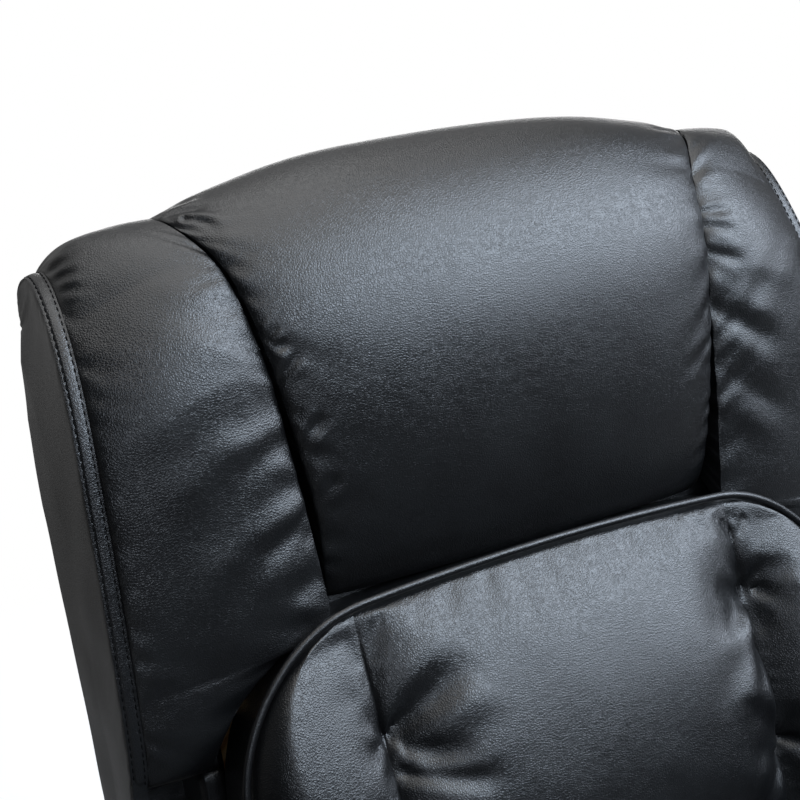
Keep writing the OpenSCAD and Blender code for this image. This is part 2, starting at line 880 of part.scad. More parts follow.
module arm_pad(side) {
    x0 = arm_in + soft_gap;
    half = (arm_out - x0) / 2;
    xm = x0 + half;
    front = -arm_front - arm_pad_lap;
    r0 = half * arm_pad_round_shares[0];
    r1 = half * arm_pad_round_shares[1];
    side_h = arm_pad_h * arm_pad_side_share;
    color(hide)
        on_chair()
            scale([side, 1, 1])
                loft([for (y = rows_of(front, arm_rear, r0, r1, arm_pad_rows))
                    let (w = plan_half(half, y, front, arm_rear, r0, r1))
                    let (rise = mix(arm_pad_end_share, 1, pillow(min(y - front, arm_rear - y), pillow_reach)))
                    concat(
                        [for (i = [0:arm_pad_cols])
                            let (a = 180 - 180 * i / arm_pad_cols)
                            let (up = (arm_pad_h - side_h) * rise * pow(sin(a), arm_pad_square))
                            [xm + w * cos(a), y, arm_pad_z + side_h + up]],
                        [[xm + w * arm_pad_foot_share, y, arm_pad_z],
                            [xm - w * arm_pad_foot_share, y, arm_pad_z]])]);
}

module arm_pad_left() {
    arm_pad(-1);
}

module arm_pad_right() {
    arm_pad(1);
}

// Hinge plates stand up behind the side rails and carry the pivot and the clamp
function round_point(x, y, r, a) = [x + r * cos(a), y + r * sin(a)];

module hinge_plate(side) {
    foot_z = [for (s = plate_foot_shares) frame_bottom + rail_h * s];
    color(steel)
        on_chair()
            scale([side, 1, 1])
                translate([hinge_in, 0, 0])
                    difference() {
                        rotate([90, 0, 90])
                            linear_extrude(plate_t)
                                union() {
                                    translate([pivot_y, pivot_z])
                                        circle(r = pivot_boss);
                                    translate([clamp_y, clamp_z])
                                        circle(r = clamp_boss);
                                    polygon([
                                        [hinge_plate_from, foot_z[0]],
                                        [seat_rear, foot_z[0]],
                                        [seat_rear, foot_z[1]],
                                        round_point(pivot_y, pivot_z, pivot_boss, plate_rear_angles[0]),
                                        round_point(clamp_y, clamp_z, clamp_boss, plate_rear_angles[1]),
                                        round_point(clamp_y, clamp_z, clamp_boss, plate_front_angles[0]),
                                        round_point(pivot_y, pivot_z, pivot_boss, plate_front_angles[1]),
                                        [seat_cushion_rear + way_gap, frame_top],
                                        [seat_cushion_rear + way_gap, frame_top - plate_gap],
                                        [hinge_plate_from, foot_z[2]]]);
                                }
                        rod_x(pivot_d + 2 * run_gap, plate_t + 2 * cut, [-cut, pivot_y, pivot_z]);
                        rod_x(clamp_d + 2 * run_gap, plate_t + 2 * cut, [-cut, clamp_y, clamp_z]);
                        side_holes(hinge_bolt_y, hinge_bolt_z, bolt_way_d,
                            -cut, plate_t + 2 * cut);
                    }
}

module hinge_plate_left() {
    hinge_plate(-1);
}

module hinge_plate_right() {
    hinge_plate(1);
}

pivot_head_d = 26;
pivot_head_h = 6;

module pivot_bolts() {
    from = bracket_in - soft_gap;
    color(steel)
        on_chair()
            for (side = [-1, 1])
                scale([side, 1, 1]) {
                    rod_x(pivot_d, rail_in - from, [from, pivot_y, pivot_z]);
                    rod_x(pivot_head_d, pivot_head_h, [from - pivot_head_h, pivot_y, pivot_z]);
                    rod_x(pivot_head_d, pivot_head_h, [rail_in, pivot_y, pivot_z]);
                }
}

// The back's padding is drawn with x, depth from the rear plane and height over the top seam
function bp(x, depth, h) = [x, rear_y - depth, back_h + h];

// A padded edge curve: crease, front, top and rear, in quarter ellipses over t from 0 to 1
function pad_curve(p, t) =
    let (a = -90 + 270 * t)
    a < 0 ? [mix(p[0], p[2], cos(a)), mix(p[3], p[1], -sin(a))]
    : a < 90 ? [mix(p[4], p[2], cos(a)), mix(p[3], p[5], sin(a))]
    : [mix(p[4], p[6], -cos(a)), mix(p[7], p[5], sin(a))];
function pad_normal(t) = [cos(-90 + 270 * t), sin(-90 + 270 * t)];
// The pad's inner line over the same t: up the frame's front, back over its top, down to the shell
pad_rows = 22;
pad_front_share = 12 / pad_rows;
pad_top_share = 20 / pad_rows;
function pad_inner(low, top, rear, t) =
    t < pad_front_share ? [cushion_core, mix(low, top, t / pad_front_share)]
    : t < pad_top_share
        ? [mix(cushion_core, shell_lap, (t - pad_front_share) / (pad_top_share - pad_front_share)), top]
    : [shell_lap, mix(top, rear, (t - pad_top_share) / (1 - pad_top_share))];

// Each list holds depth and height at the crease, at the front, at the top and at the rear
roll_edge = [roll_crease_depth, -crease_drop, roll_depth - roll_edge_proud, -roll_mid_drop,
    roll_top_d, -roll_top_drop, 0, -shell_top_drop];
wing_edge = [wing_low_depth, -wing_len, wing_out_front, -wing_mid_drop,
    wing_top_d, -wing_top_drop, 0, -shell_top_drop];
wing_seam = [wing_low_depth + 2 * wing_seam_back, -wing_len,
    roll_depth - roll_edge_proud - wing_seam_back, -roll_mid_drop,
    roll_top_d, -2 * roll_top_drop, 0, -shell_top_drop];

function roll_half(h) = mix(roll_low_half, roll_top_half, bound(1 + h / crease_drop, 0, 1));

// Half width of the back cushion's outline at a height
cushion_bottom = cushion_low - back_h;
cushion_low_corner = 30;
function cushion_outline(h) = plan_half(cushion_half - piping_d, h, cushion_bottom, -cushion_drop,
    cushion_low_corner, cushion_corner);

roll_cols = 12;
roll_low_share = 0.3;
roll_inner_shares = [1, 0.33, -0.33, -1];
roll_square = 3;
wing_cols = 8;
wing_fall_share = 0.6;
wing_square = 0.7;
wing_end_share = 0.92;
// Places across a wing's inner face and how far each has fallen to the low outer edge
wing_inner_shares = [[1, 1], [0.4, 0], [0, 0]];
wing_top_fall = 34;

module head_roll() {
    color(hide)
        on_back()
            loft([for (j = [0:pad_rows])
                let (t = j / pad_rows)
                let (edge = pad_curve(roll_edge, t))
                let (half = roll_half(edge[1]) - seam_gap)
                let (n = pad_normal(t))
                let (full = roll_edge_proud * (t < 1 / 3 ? mix(roll_low_share, 1, sin(270 * t))
                    : cos(135 * (t - 1 / 3))))
                concat(
                    [for (i = [0:roll_cols])
                        let (s = -cos(180 * i / roll_cols))
                        let (b = full * sqrt(1 - pow(abs(s), roll_square)))
                        bp(half * s, edge[0] + b * n[0], max(edge[1] + b * n[1], -crease_drop))],
                    [for (s = roll_inner_shares)
                        let (p = pad_inner(-crease_drop, -padding_in_top, -shell_top_drop, t))
                        bp(half * s, p[0], p[1])])]);
}

function wing_in(h) = max(roll_half(h) + seam_gap, h < -crease_drop ? cushion_outline(h) + wing_gap : 0);

module wing(side) {
    color(hide)
        on_back()
            scale([side, 1, 1])
                loft([for (j = [0:pad_rows])
                    let (t = j / pad_rows)
                    let (inner = pad_curve(wing_seam, t))
                    let (outer = pad_curve(wing_edge, t))
                    let (n = pad_normal(t))
                    let (x0 = wing_in(inner[1]))
                    let (x1 = back_w / 2)
                    concat(
                        [for (i = [0:wing_cols])
                            let (s = 0.5 - 0.5 * cos(180 * i / wing_cols))
                            let (p = mix(inner, outer, s * s * (1 + wing_fall_share * (1 - s))))
                            let (b = wing_swell * pow(sin(180 * s), wing_square)
                                * sin(180 * min(t / wing_end_share, 1)))
                            bp(mix(x0, x1, s), p[0] + b * n[0], p[1] + b * n[1])],
                        [for (k = wing_inner_shares)
                            let (top = max(-padding_in_top - k[1] * wing_top_fall, pad_lip - shell_top_drop))
                            let (p = pad_inner(-wing_len, top, -shell_top_drop, t))
                            bp(mix(x0, x1, k[0]), p[0], p[1])])]);
}

module wing_left() {
    wing(-1);
}

module wing_right() {
    wing(1);
}

// The back cushion: rings across X, one for each row from the seat up to the piped top
cushion_rows = 26;
cushion_cols = 36;
cushion_tuft_shares = [0.283, 0.674];
cushion_tuft_w_share = 0.8;
cushion_tufts = [for (s = cushion_tuft_shares) mix(-cushion_drop, cushion_bottom, s)];
cushion_tops = rows_of(cushion_bottom, -cushion_drop, cushion_low_corner, cushion_corner, cushion_rows);
// How far a place on the cushion's face has risen towards its top edge
function cushion_share(h) = bound((h - cushion_bottom) / (-cushion_drop - cushion_bottom), 0, 1);
function cushion_lift(x, h) = cushion_crown * max(0, 1 - pow(x / cushion_half, 2)) * pow(cushion_share(h), 2);

function cushion_face(x, h, edge) =
    let (rise = pillow(edge, pillow_reach))
    piping_depth + cushion_swell * rise
        - tuft_depth * rise * sewn(x, h, seam_half, cushion_tufts, seam_share, tuft_w * cushion_tuft_w_share);

module back_cushion() {
    color(hide)
        on_back()
            loft([for (h = cushion_tops)
                let (half = cushion_outline(h))
                concat(
                    [for (i = [0:cushion_cols])
                        let (s = -1 + 2 * i / cushion_cols)
                        let (x = half * s)
                        let (edge = min(half - abs(x), min(-cushion_drop - h, h - cushion_bottom)))
                        bp(x, cushion_face(x, h, edge), h + cushion_lift(x, h))],
                    [for (s = [1, -1])
                        bp(half * s, cushion_core, h + cushion_lift(half, h))])]);
}

pipe_steps = 8;
pipe_top_steps = 12;

module back_piping() {
    out = piping_d / 2 + soft_gap;
    w = cushion_half - piping_d;
    r = cushion_corner;
    low = cushion_bottom + cushion_low_corner;
    side = [for (i = [0:pipe_steps]) [-w - out, mix(low, -cushion_drop - r, i / pipe_steps)]];
    corner = [for (i = [1:pipe_steps])
        let (a = 90 * i / pipe_steps)
        [-w + r - (r + out) * cos(a), -cushion_drop - r + (r + out) * sin(a)]];
    top = [for (i = [1:pipe_top_steps - 1]) [mix(-w + r, w - r, i / pipe_top_steps), -cushion_drop + out]];
    left = concat(side, corner);
    line = concat(left, top, [for (p = reverse_list(left)) [-p[0], p[1]]]);
    color(seam_black)
        on_back()
            tube([for (p = line) bp(p[0], piping_depth + out / 2, p[1] + cushion_lift(p[0], p[1]))],
                piping_d, [0, 1, 0]);
}

// Rear panel: narrow between the arms, wide above the shoulders
module back_shell() {
    low = -shell_drop;
    top = back_h - shell_top_drop;
    color(hide)
        on_back()
            translate([0, rear_y, 0])
                rotate([90, 0, 0])
                    linear_extrude(shell_t)
                        union() {
                            translate([0, (low + shoulder_h) / 2 + shell_corner / 2])
                                square([2 * lower_half, shoulder_h - low + shell_corner], center = true);
                            translate([0, (shoulder_h + top) / 2])
                                round_rect(back_w, top - shoulder_h, shell_corner);
                        }
}

// Side boxing: behind the wing above the shoulder, beside the cushion below it
module back_side(side) {
    front = rear_y - cushion_core + soft_gap;
    depth = cushion_core - shell_t - soft_gap;
    color(hide)
        on_back()
            scale([side, 1, 1]) {
                translate([back_w / 2 - panel_t, front, shoulder_h])
                    cube([panel_t, depth, shoulder_drop - side_top_drop]);
                translate([lower_half - panel_t, front, shoulder_h])
                    cube([back_w / 2 - lower_half + panel_t, depth, panel_t]);
                translate([lower_half - panel_t, front, side_low])
                    cube([panel_t, depth, shoulder_h - side_low]);
            }
}

module back_side_left() {
    back_side(-1);
}

module back_side_right() {
    back_side(1);
}

// Two cross rails join the posts; the brackets and the springs lie in the opening between them
post_top = back_h - padding_in_top - soft_gap;
post_mid_y = rear_y - post_front + post_d / 2;
cross_rail_v = [post_low, shoulder_h];
open_low = cross_rail_v[0] + back_rail_h;
open_high = cross_rail_v[1];
bracket_top = mix(open_low, open_high, bracket_top_share);
bracket_bolt_v = [for (s = bracket_bolt_shares) mix(open_low, open_high, s)];
back_spring_v = [for (s = back_spring_shares) mix(open_low, open_high, s)];
back_spring_w = (open_high - open_low) * back_spring_w_share;

module back_post(side) {
    color(timber)
        on_back()
            scale([side, 1, 1])
                difference() {
                    translate([post_in, rear_y - post_front, post_low])
                        cube([post_w, post_d, post_top - post_low]);
                    for (v = bracket_bolt_v)
                        rod_x(bolt_way_d, post_w + 2 * cut, [post_in - cut, post_mid_y, v]);
                }
}

module back_post_left() {
    back_post(-1);
}

module back_post_right() {
    back_post(1);
}

module back_top_rail() {
    color(timber)
        on_back()
            translate([-post_in, rear_y - post_front, post_top - back_rail_h])
                cube([2 * post_in, post_d, back_rail_h]);
}

module back_cross_rails() {
    color(timber)
        on_back()
            for (v = cross_rail_v)
                translate([-post_in, rear_y - post_front, v])
                    cube([2 * post_in, post_d, back_rail_h]);
}

module back_springs() {
    color(steel)
        on_back()
            for (v = back_spring_v)
                translate([0, rear_y - post_front + spring_drop, v])
                    rotate([90, 0, -90])
                        tube([for (p = spring_path(-post_in + soft_gap, post_in - soft_gap,
                            spring_loops, back_spring_w, 0)) [p[2], p[0], p[1]]], spring_d, [1, 0, 0]);
}

// Brackets turn about the pivot bolts; their slot follows the clamp shaft
slot_play = 0.3;
slot_end = 0.8;
bracket_w = 27;

// Sector of a disc, from a0 to a1 clockwise from straight up
sector_steps = 12;
sector_more = 9;
function sector(r, a0, a1) = concat([[0, 0]], [for (i = [0:sector_steps])
    let (a = mix(a0, a1, i / sector_steps))
    r * [sin(a), cos(a)]]);

module back_bracket(side) {
    half_slot = clamp_d / 2 + slot_play;
    a0 = clamp_angle - recline_travel - slot_end;
    a1 = clamp_angle + slot_end;
    arm_z = clamp_r + clamp_boss / 2 + plate_gap;
    color(steel)
        on_back()
            scale([side, 1, 1])
                translate([bracket_in, 0, 0])
                    rotate([90, 0, 90])
                        difference() {
                            union() {
                                cylinder(r = pivot_boss - way_gap, h = plate_t);
                                linear_extrude(plate_t)
                                    polygon(sector(clamp_r + clamp_boss, a0 - sector_more, a1 + sector_more));
                                translate([post_mid_y - bracket_w / 2, arm_z, 0])
                                    cube([bracket_w, bracket_top - arm_z, plate_t]);
                            }
                            rotate([0, 0, 90 - a1])
                                rotate_extrude(angle = a1 - a0, $fn = 96)
                                    translate([clamp_r - half_slot, -cut])
                                        square([2 * half_slot, plate_t + 2 * cut]);
                            for (a = [a0, a1])
                                translate([clamp_r * sin(a), clamp_r * cos(a), -cut])
                                    cylinder(r = half_slot, h = plate_t + 2 * cut);
                            translate([0, 0, -cut])
                                cylinder(d = pivot_d + 2 * run_gap, h = plate_t + 2 * cut);
                            for (v = bracket_bolt_v)
                                translate([post_mid_y, v, -cut])
                                    cylinder(d = bolt_way_d, h = plate_t + 2 * cut);
                        }
}

module back_bracket_left() {
    back_bracket(-1);
}

module back_bracket_right() {
    back_bracket(1);
}

module bracket_bolts() {
    color(steel)
        on_back()
            for (side = [-1, 1], v = bracket_bolt_v)
                scale([side, 1, 1]) {
                    rod_x(bolt_d, post_w + plate_t, [post_in, post_mid_y, v]);
                    rod_x(bolt_head_d, bolt_head_h, [post_in - bolt_head_h, post_mid_y, v]);
                    rod_x(bolt_head_d, bolt_head_h, [bracket_in + plate_t, post_mid_y, v]);
                }
}

// Clamp: a lobed knob outside the right arm, on a shaft that presses bracket and plate together
knob_t = 17;
knob_lobes = 5;
knob_core_share = 0.7;
knob_lobe_share = 0.32;
knob_lobe_r_share = 0.34;
knob_lobe_t_share = 0.8;
shaft_in = 12;
clamp_head_d = 20;
clamp_head_h = 4;
knob_x = arm_side_out + 2 * soft_gap;

module recline_knob() {
    color(gum)
        on_chair()
            translate([knob_x, clamp_y, clamp_z])
                rotate([0, 90, 0])
                    difference() {
                        union() {
                            cylinder(d = knob_d * knob_core_share, h = knob_t);
                            for (i = [0:knob_lobes - 1])
                                rotate([0, 0, 360 / knob_lobes * i])
                                    translate([knob_d * knob_lobe_r_share, 0, 0])
                                        cylinder(d = knob_d * knob_lobe_share,
                                            h = knob_t * knob_lobe_t_share);
                        }
                        translate([0, 0, -cut])
                            cylinder(d = clamp_d, h = shaft_in + cut);
                    }
}

module clamp_shaft() {
    from = bracket_in - soft_gap;
    color(steel)
        on_chair() {
            rod_x(clamp_d, knob_x + shaft_in - from, [from, clamp_y, clamp_z]);
            rod_x(clamp_head_d, clamp_head_h, [from - clamp_head_h, clamp_y, clamp_z]);
        }
}

// Ottoman
ottoman_foot_out = ottoman_ring_d / 2 - ottoman_ring_w * leg_foot_shares[0];
ottoman_foot_in = ottoman_ring_d / 2 - ottoman_ring_w * leg_foot_shares[1];
ottoman_leg_path = leg_line(ottoman_foot_out, ottoman_foot_in,
    ring_top + leg_t / 2, ottoman_hub_z - leg_t / 2, ottoman_leg_bend_r, ottoman_leg_top_in);
ottoman_leg_top = ottoman_leg_path[len(ottoman_leg_path) - 2][0];
ottoman_bolts_r = [mix(ottoman_leg_top_in, ottoman_leg_top, ottoman_bolt_share)];
ottoman_rail_w = ottoman_w - 2 * ottoman_inset;
ottoman_rail_d = ottoman_d - 2 * ottoman_inset;

module ottoman_ring() {
    color(hide)
        on_ottoman()
            floor_ring(ottoman_ring_d, ottoman_ring_w);
}

module ottoman_glides() {
    color(gum)
        on_ottoman()
            glides(ottoman_ring_d, ottoman_ring_w);
}

module ottoman_legs() {
    color(hide)
        on_ottoman()
            for (i = [0:leg_count - 1])
                rotate([0, 0, 90 * i])
                    difference() {
                        bent_leg(ottoman_leg_path, ottoman_leg_w, leg_t);
                        leg_bolt_holes(ottoman_bolts_r, ottoman_hub_z - leg_t - cut, bolt_way_d);
                    }
}

module ottoman_hub() {
    color(timber)
        on_ottoman()
            hub_disc(ottoman_hub_d, ottoman_hub_z, ottoman_bolts_r);
}

module ottoman_bolts() {
    color(steel)
        on_ottoman()
            for (i = [0:leg_count - 1], r = ottoman_bolts_r)
                rotate([0, 0, 90 * i])
                    translate([r, 0, ottoman_hub_z - leg_t])
                        bolt_up(bolt_d, leg_t + hub_t - bolt_short, bolt_head_d, bolt_head_h);
}

module ottoman_frame() {
    w = ottoman_rail_w;
    d = ottoman_rail_d;
    color(timber)
        on_ottoman()
            difference() {
                translate([-w / 2, -d / 2, ottoman_frame_z])
                    cube([w, d, ottoman_frame_top - ottoman_frame_z]);
                translate([-w / 2 + rail_t, -d / 2 + rail_t, ottoman_frame_z + cross_t])
                    cube([w - 2 * rail_t, d - 2 * rail_t, ottoman_frame_top]);
            }
}

ottoman_pipe_z = ottoman_frame_top + ottoman_boxing;
ottoman_half = ottoman_w / 2 - piping_d;
ottoman_end = ottoman_d / 2 - piping_d;
ottoman_corner = 60;
ottoman_tufts = [for (s = ottoman_tuft_shares) ottoman_end * s];

module ottoman_cushion() {
    color(hide)
        on_ottoman()
            flat_cushion(ottoman_half, -ottoman_end, ottoman_end, ottoman_corner, ottoman_corner,
                ottoman_frame_top + soft_gap, ottoman_pipe_z, ottoman_swell, ottoman_tufts,
                seam_half * ottoman_seam_share);
}

module ottoman_piping() {
    out = piping_d / 2 + soft_gap;
    color(seam_black)
        on_ottoman()
            tube([for (p = flat_outline(ottoman_half, -ottoman_end, ottoman_end,
                ottoman_corner, ottoman_corner, out, pipe_joint)) [p[0], p[1], ottoman_pipe_z]],
                piping_d, [0, 0, 1]);
}

apron_t = 14;

// Padded skirt round the ottoman's frame
module ottoman_apron() {
    w = ottoman_rail_w + 2 * apron_t;
    d = ottoman_rail_d + 2 * apron_t;
    hole_w = ottoman_rail_w + 2 * soft_gap;
    hole_d = ottoman_rail_d + 2 * soft_gap;
    color(hide)
        on_ottoman()
            difference() {
                translate([0, 0, ottoman_frame_z])
                    linear_extrude(ottoman_frame_top - ottoman_frame_z)
                        round_rect(w, d, ottoman_corner * ottoman_apron_corner_share);
                translate([-hole_w / 2, -hole_d / 2, ottoman_frame_z - cut])
                    cube([hole_w, hole_d, ottoman_frame_top - ottoman_frame_z + 2 * cut]);
            }
}

base_ring();
base_glides();
base_leg_1();
base_leg_2();
base_leg_3();
base_leg_4();
base_hub();
leg_bolts();
swivel_base_plate();
swivel_balls();
swivel_pin();
swivel_top_plate();
cross_board();
side_rail_left();
side_rail_right();
front_rail();
rear_rail();
seat_springs();
spring_clips();
seat_cushion();
seat_piping();
front_apron();
dust_cover();
seat_bolts();
arm_board_left();
arm_board_right();
arm_panel_left();
arm_panel_right();
arm_pad_left();
arm_pad_right();
hinge_plate_left();
hinge_plate_right();
pivot_bolts();
back_post_left();
back_post_right();
back_top_rail();
back_cross_rails();
back_springs();
back_shell();
back_side_left();
back_side_right();
wing_left();
wing_right();
head_roll();
back_cushion();
back_piping();
back_bracket_left();
back_bracket_right();
bracket_bolts();
recline_knob();
clamp_shaft();
ottoman_ring();
ottoman_glides();
ottoman_legs();
ottoman_hub();
ottoman_frame();
ottoman_apron();
ottoman_bolts();
ottoman_cushion();
ottoman_piping();
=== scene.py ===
# %% [markdown]
# # A padded leather recliner and its footstool
# The CAD part gives every piece its place and its joints. This script keeps that frame and dresses
# it: puffed leather panels with seams, tufts and wrinkles, piping, rows of thread and real finishes.
# Each cell makes one kind of piece. Lengths are in millimetres until the last step of a mesh.

import math

import bmesh
import bpy
import numpy as np
from mathutils import Matrix, Vector
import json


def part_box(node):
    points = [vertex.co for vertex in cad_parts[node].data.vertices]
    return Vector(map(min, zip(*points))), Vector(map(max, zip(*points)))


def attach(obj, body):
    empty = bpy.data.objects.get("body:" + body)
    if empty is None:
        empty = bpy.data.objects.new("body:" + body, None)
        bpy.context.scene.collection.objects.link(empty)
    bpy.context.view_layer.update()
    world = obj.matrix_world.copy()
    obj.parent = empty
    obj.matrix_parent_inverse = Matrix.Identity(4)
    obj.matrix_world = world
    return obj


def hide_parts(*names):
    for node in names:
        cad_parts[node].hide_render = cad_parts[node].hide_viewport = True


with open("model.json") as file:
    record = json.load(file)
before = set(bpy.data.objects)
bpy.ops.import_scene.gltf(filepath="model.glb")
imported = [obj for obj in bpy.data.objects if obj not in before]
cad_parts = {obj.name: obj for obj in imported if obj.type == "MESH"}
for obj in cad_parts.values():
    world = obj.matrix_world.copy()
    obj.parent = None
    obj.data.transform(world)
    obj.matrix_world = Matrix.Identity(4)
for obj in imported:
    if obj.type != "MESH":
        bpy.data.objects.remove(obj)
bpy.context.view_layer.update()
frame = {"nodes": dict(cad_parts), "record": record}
MM = 0.001
dice = np.random.default_rng
room = bpy.context.scene

# %% [markdown]
# ## Three places to work in
# The back leans 14 degrees about its pivot, the seat swivels and the footstool stands in front.
# It is easier to draw each one upright, so a small function moves a point from the back's, the
# chair's or the footstool's own frame to the room. The numbers are the ones the CAD uses.

# %% Frames of the back, the chair and the footstool
CHAIR_Y, OTTOMAN_Y = 252.214, -463.786
PIVOT_Y, PIVOT_Z = 467.214, 335.0
BACK_LEAN = math.radians(14)
REAR_Y, BACK_H = 70.0, 688.11


def on_back(p):
    """[x, depth from the rear plane, height over the top seam] to the room, in mm"""
    y, z = REAR_Y - p[..., 1], BACK_H + p[..., 2]
    c, s = math.cos(BACK_LEAN), math.sin(BACK_LEAN)
    return np.stack([p[..., 0], PIVOT_Y + y * c + z * s, PIVOT_Z + z * c - y * s], -1)


def on_chair(p):
    return p + np.array([0, CHAIR_Y, 0])


def on_ottoman(p):
    return p + np.array([0, OTTOMAN_Y, 0])


# %% [markdown]
# ## Meshes from rows of points
# A leather panel is a sheet over padding, so each one is drawn as a grid of points: its place comes
# from a formula and its wrinkles move it along its own normal. Two builders close such a grid:
# `loft` joins closed rings and suits a pad that wraps over a rail, and `cushion` continues a face
# from its border through a boxing to its underside.

# %% Grid and mesh helpers
# Edges that are bent more than this stay sharp
SHARP = math.radians(48)


def mixed(a, b, t):
    return a + (b - a) * t


def unit(x):
    return np.clip(x, 0, 1)


def numbered(grid):
    """The numbers of a grid's points"""
    return np.arange(grid.shape[0] * grid.shape[1]).reshape(grid.shape[:2])


def looped(line):
    """A loop with its first point once more at its end"""
    return np.concatenate([line, line[:1]])


def grid_faces(ids):
    """Quads between the rows of an array of vertex numbers"""
    return np.stack([ids[:-1, :-1], ids[:-1, 1:], ids[1:, 1:], ids[1:, :-1]], -1).reshape(-1, 4)


def rim_of(grid):
    """The border of a grid as one closed loop"""
    return np.concatenate([grid[0, :-1], grid[:-1, -1], grid[-1, :0:-1], grid[:0:-1, 0]])


def placed(name, data):
    """A new object in the scene"""
    thing = bpy.data.objects.new(name, data)
    room.collection.objects.link(thing)
    return thing


def make_mesh(name, points, faces, finish):
    """Points in mm in the room; faces as lists. Doubles merge and faces turn outwards."""
    mesh = bpy.data.meshes.new(name)
    mesh.from_pydata((np.asarray(points) * MM).tolist(), [], [list(f) for f in faces])
    tidy = bmesh.new()
    tidy.from_mesh(mesh)
    bmesh.ops.remove_doubles(tidy, verts=tidy.verts, dist=0.02 * MM)
    bmesh.ops.dissolve_degenerate(tidy, edges=tidy.edges, dist=0.01 * MM)
    bmesh.ops.recalc_face_normals(tidy, faces=tidy.faces)
    tidy.to_mesh(mesh)
    tidy.free()
    mesh.shade_smooth()
    mesh.set_sharp_from_angle(angle=SHARP)
    mesh.materials.append(finish)
    print(name, len(mesh.vertices), "points")
    return placed(name, mesh)


def loft(rings, closed=False):
    """Rings, one after another. The last joins the first, or both get a face."""
    ids = numbered(rings)
    sheet = np.concatenate([ids, ids[:, :1]], 1)
    ends = [] if closed else [ids[0].tolist(), ids[-1].tolist()]
    return rings.reshape(-1, 3), grid_faces(looped(sheet) if closed else sheet).tolist() + ends


def cushion(face, loops):
    """A face grid whose border continues through closed loops; the last loop is filled"""
    ids = numbered(face)
    points, last = [face.reshape(-1, 3)], rim_of(ids)
    faces, start = grid_faces(ids).tolist(), ids.size
    for loop in loops:
        now = start + np.arange(len(loop))
        faces += np.stack([last, now, np.roll(now, -1), np.roll(last, -1)], -1).tolist()
        points.append(loop)
        last, start = now, start + len(loop)
    return np.concatenate(points), faces + [last.tolist()]


def joined(parts):
    """Several (points, faces) as one"""
    points, faces, start = [], [], 0
    for p, f in parts:
        points.append(p)
        faces += [[i + start for i in face] for face in f]
        start += len(p)
    return np.concatenate(points), faces


def pushed(grid, amount, outward):
    """Moves a grid along its normals; outward is a rough direction that sets their sign"""
    n = np.cross(np.gradient(grid, axis=0), np.gradient(grid, axis=1))
    n /= np.maximum(np.linalg.norm(n, axis=-1, keepdims=True), 1e-9)
    if (n.reshape(-1, 3).mean(0) * np.array(outward)).sum() < 0:
        n = -n
    return grid + n * amount[..., None]


def at_depth(line, d):
    """The same line, laid flat at one depth"""
    return np.stack([line[:, 0], np.full(len(line), d), line[:, 2]], -1)


def arc_length(grid, axis):
    """Distance along the rows or columns of a grid, in mm"""
    step = np.linalg.norm(np.diff(grid, axis=axis), axis=-1)
    zero = np.zeros_like(np.take(step, [0], axis))
    return np.concatenate([zero, np.cumsum(step, axis)], axis)


def spread(face):
    """Over a face, in mm: the way along it, and the way across from either border"""
    across = arc_length(face, 1)
    return arc_length(face, 0), across, across[:, -1:] - across


def round_plan(rings):
    """The way round each ring of a wall whose points are 5 mm apart"""
    return np.broadcast_to(np.arange(rings.shape[1])[None, :] * 5.0, rings.shape[:2])


# %% [markdown]
# ## Wrinkles
# Leather that is sewn over soft filling has three kinds of unevenness: small gathers where a seam
# holds it, longer folds that run from a tuft or a corner, and a slow swelling of the filling. Each
# is a height field over the sheet, in millimetres, so they simply add up.

# %% Gathers, folds and slow swelling


def gathers(along, away, rng, spacing, reach, width, height, ends=None):
    """Small valleys that start at a seam: along is the place on it, away the distance from it"""
    out = np.zeros_like(along)
    low, high = ends or (along.min(), along.max())
    at = low + spacing * rng.random()
    while at < high:
        w, r = width * (0.7 + 0.7 * rng.random()), reach * (0.5 + rng.random())
        slant, deep = rng.normal(0, 0.35), height * (0.4 + 0.8 * rng.random())
        d = (along - at - slant * away) / (w * (1 + 0.8 * away / r))
        out += deep * (0.55 * np.exp(-((np.abs(d) - 1.7) ** 2)) - np.exp(-d * d)) * np.exp(-away / r)
        at += spacing * (0.5 + rng.random())
    return out


def folds(grid, lines):
    """Valleys and ridges along straight lines. Each is its start's and its end's coordinates, width,
    height (minus for a valley) and the share of the height that it keeps at its start."""
    out = np.zeros(grid.shape[:-1])
    for *ends, width, height, grip in lines:
        a, b = np.reshape(ends, (2, -1)).astype(float)
        ab = b - a
        u = unit(((grid - a) @ ab) / (ab @ ab))
        d = np.linalg.norm(grid - a - u[..., None] * ab, axis=-1) / (width * (0.75 + 0.5 * u))
        taper = np.maximum(grip * (1 - u) ** 1.2, np.sin(np.pi * np.clip(u, 0.02, 0.98)))
        out += height * taper * (np.exp(-d * d) - 0.35 * np.exp(-((d - 2.1) ** 2)))
    return out


def swelling(grid, rng, size, waves=10):
    """A smooth random field of about one unit, with lumps of the given size"""
    out = np.zeros(grid.shape[:-1])
    for _ in range(waves):
        way = rng.normal(size=3)
        way *= 2 * np.pi / (size * (0.7 + 0.8 * rng.random()) * np.linalg.norm(way))
        out += np.sin(grid @ way + 2 * np.pi * rng.random())
    return out / math.sqrt(waves)


# %% [markdown]
# ## Nodes and colours
# One function adds a node with its settings, values and links. Colours are written as the sRGB hex
# values a painter would pick, and one function turns them linear.

# %% Node and colour helpers


def add(tree, kind, values=None, links=None, **settings):
    node = tree.nodes.new(kind)
    for key, value in settings.items():
        setattr(node, key, value)
    for key, value in (values or {}).items():
        node.inputs[key].default_value = value
    for key, source in (links or {}).items():
        tree.links.new(source, node.inputs[key])
    return node


def colour(code):
    parts = [int(code[i : i + 2], 16) / 255 for i in (1, 3, 5)]
    return [c / 12.92 if c <= 0.04045 else ((c + 0.055) / 1.055) ** 2.4 for c in parts] + [1.0]


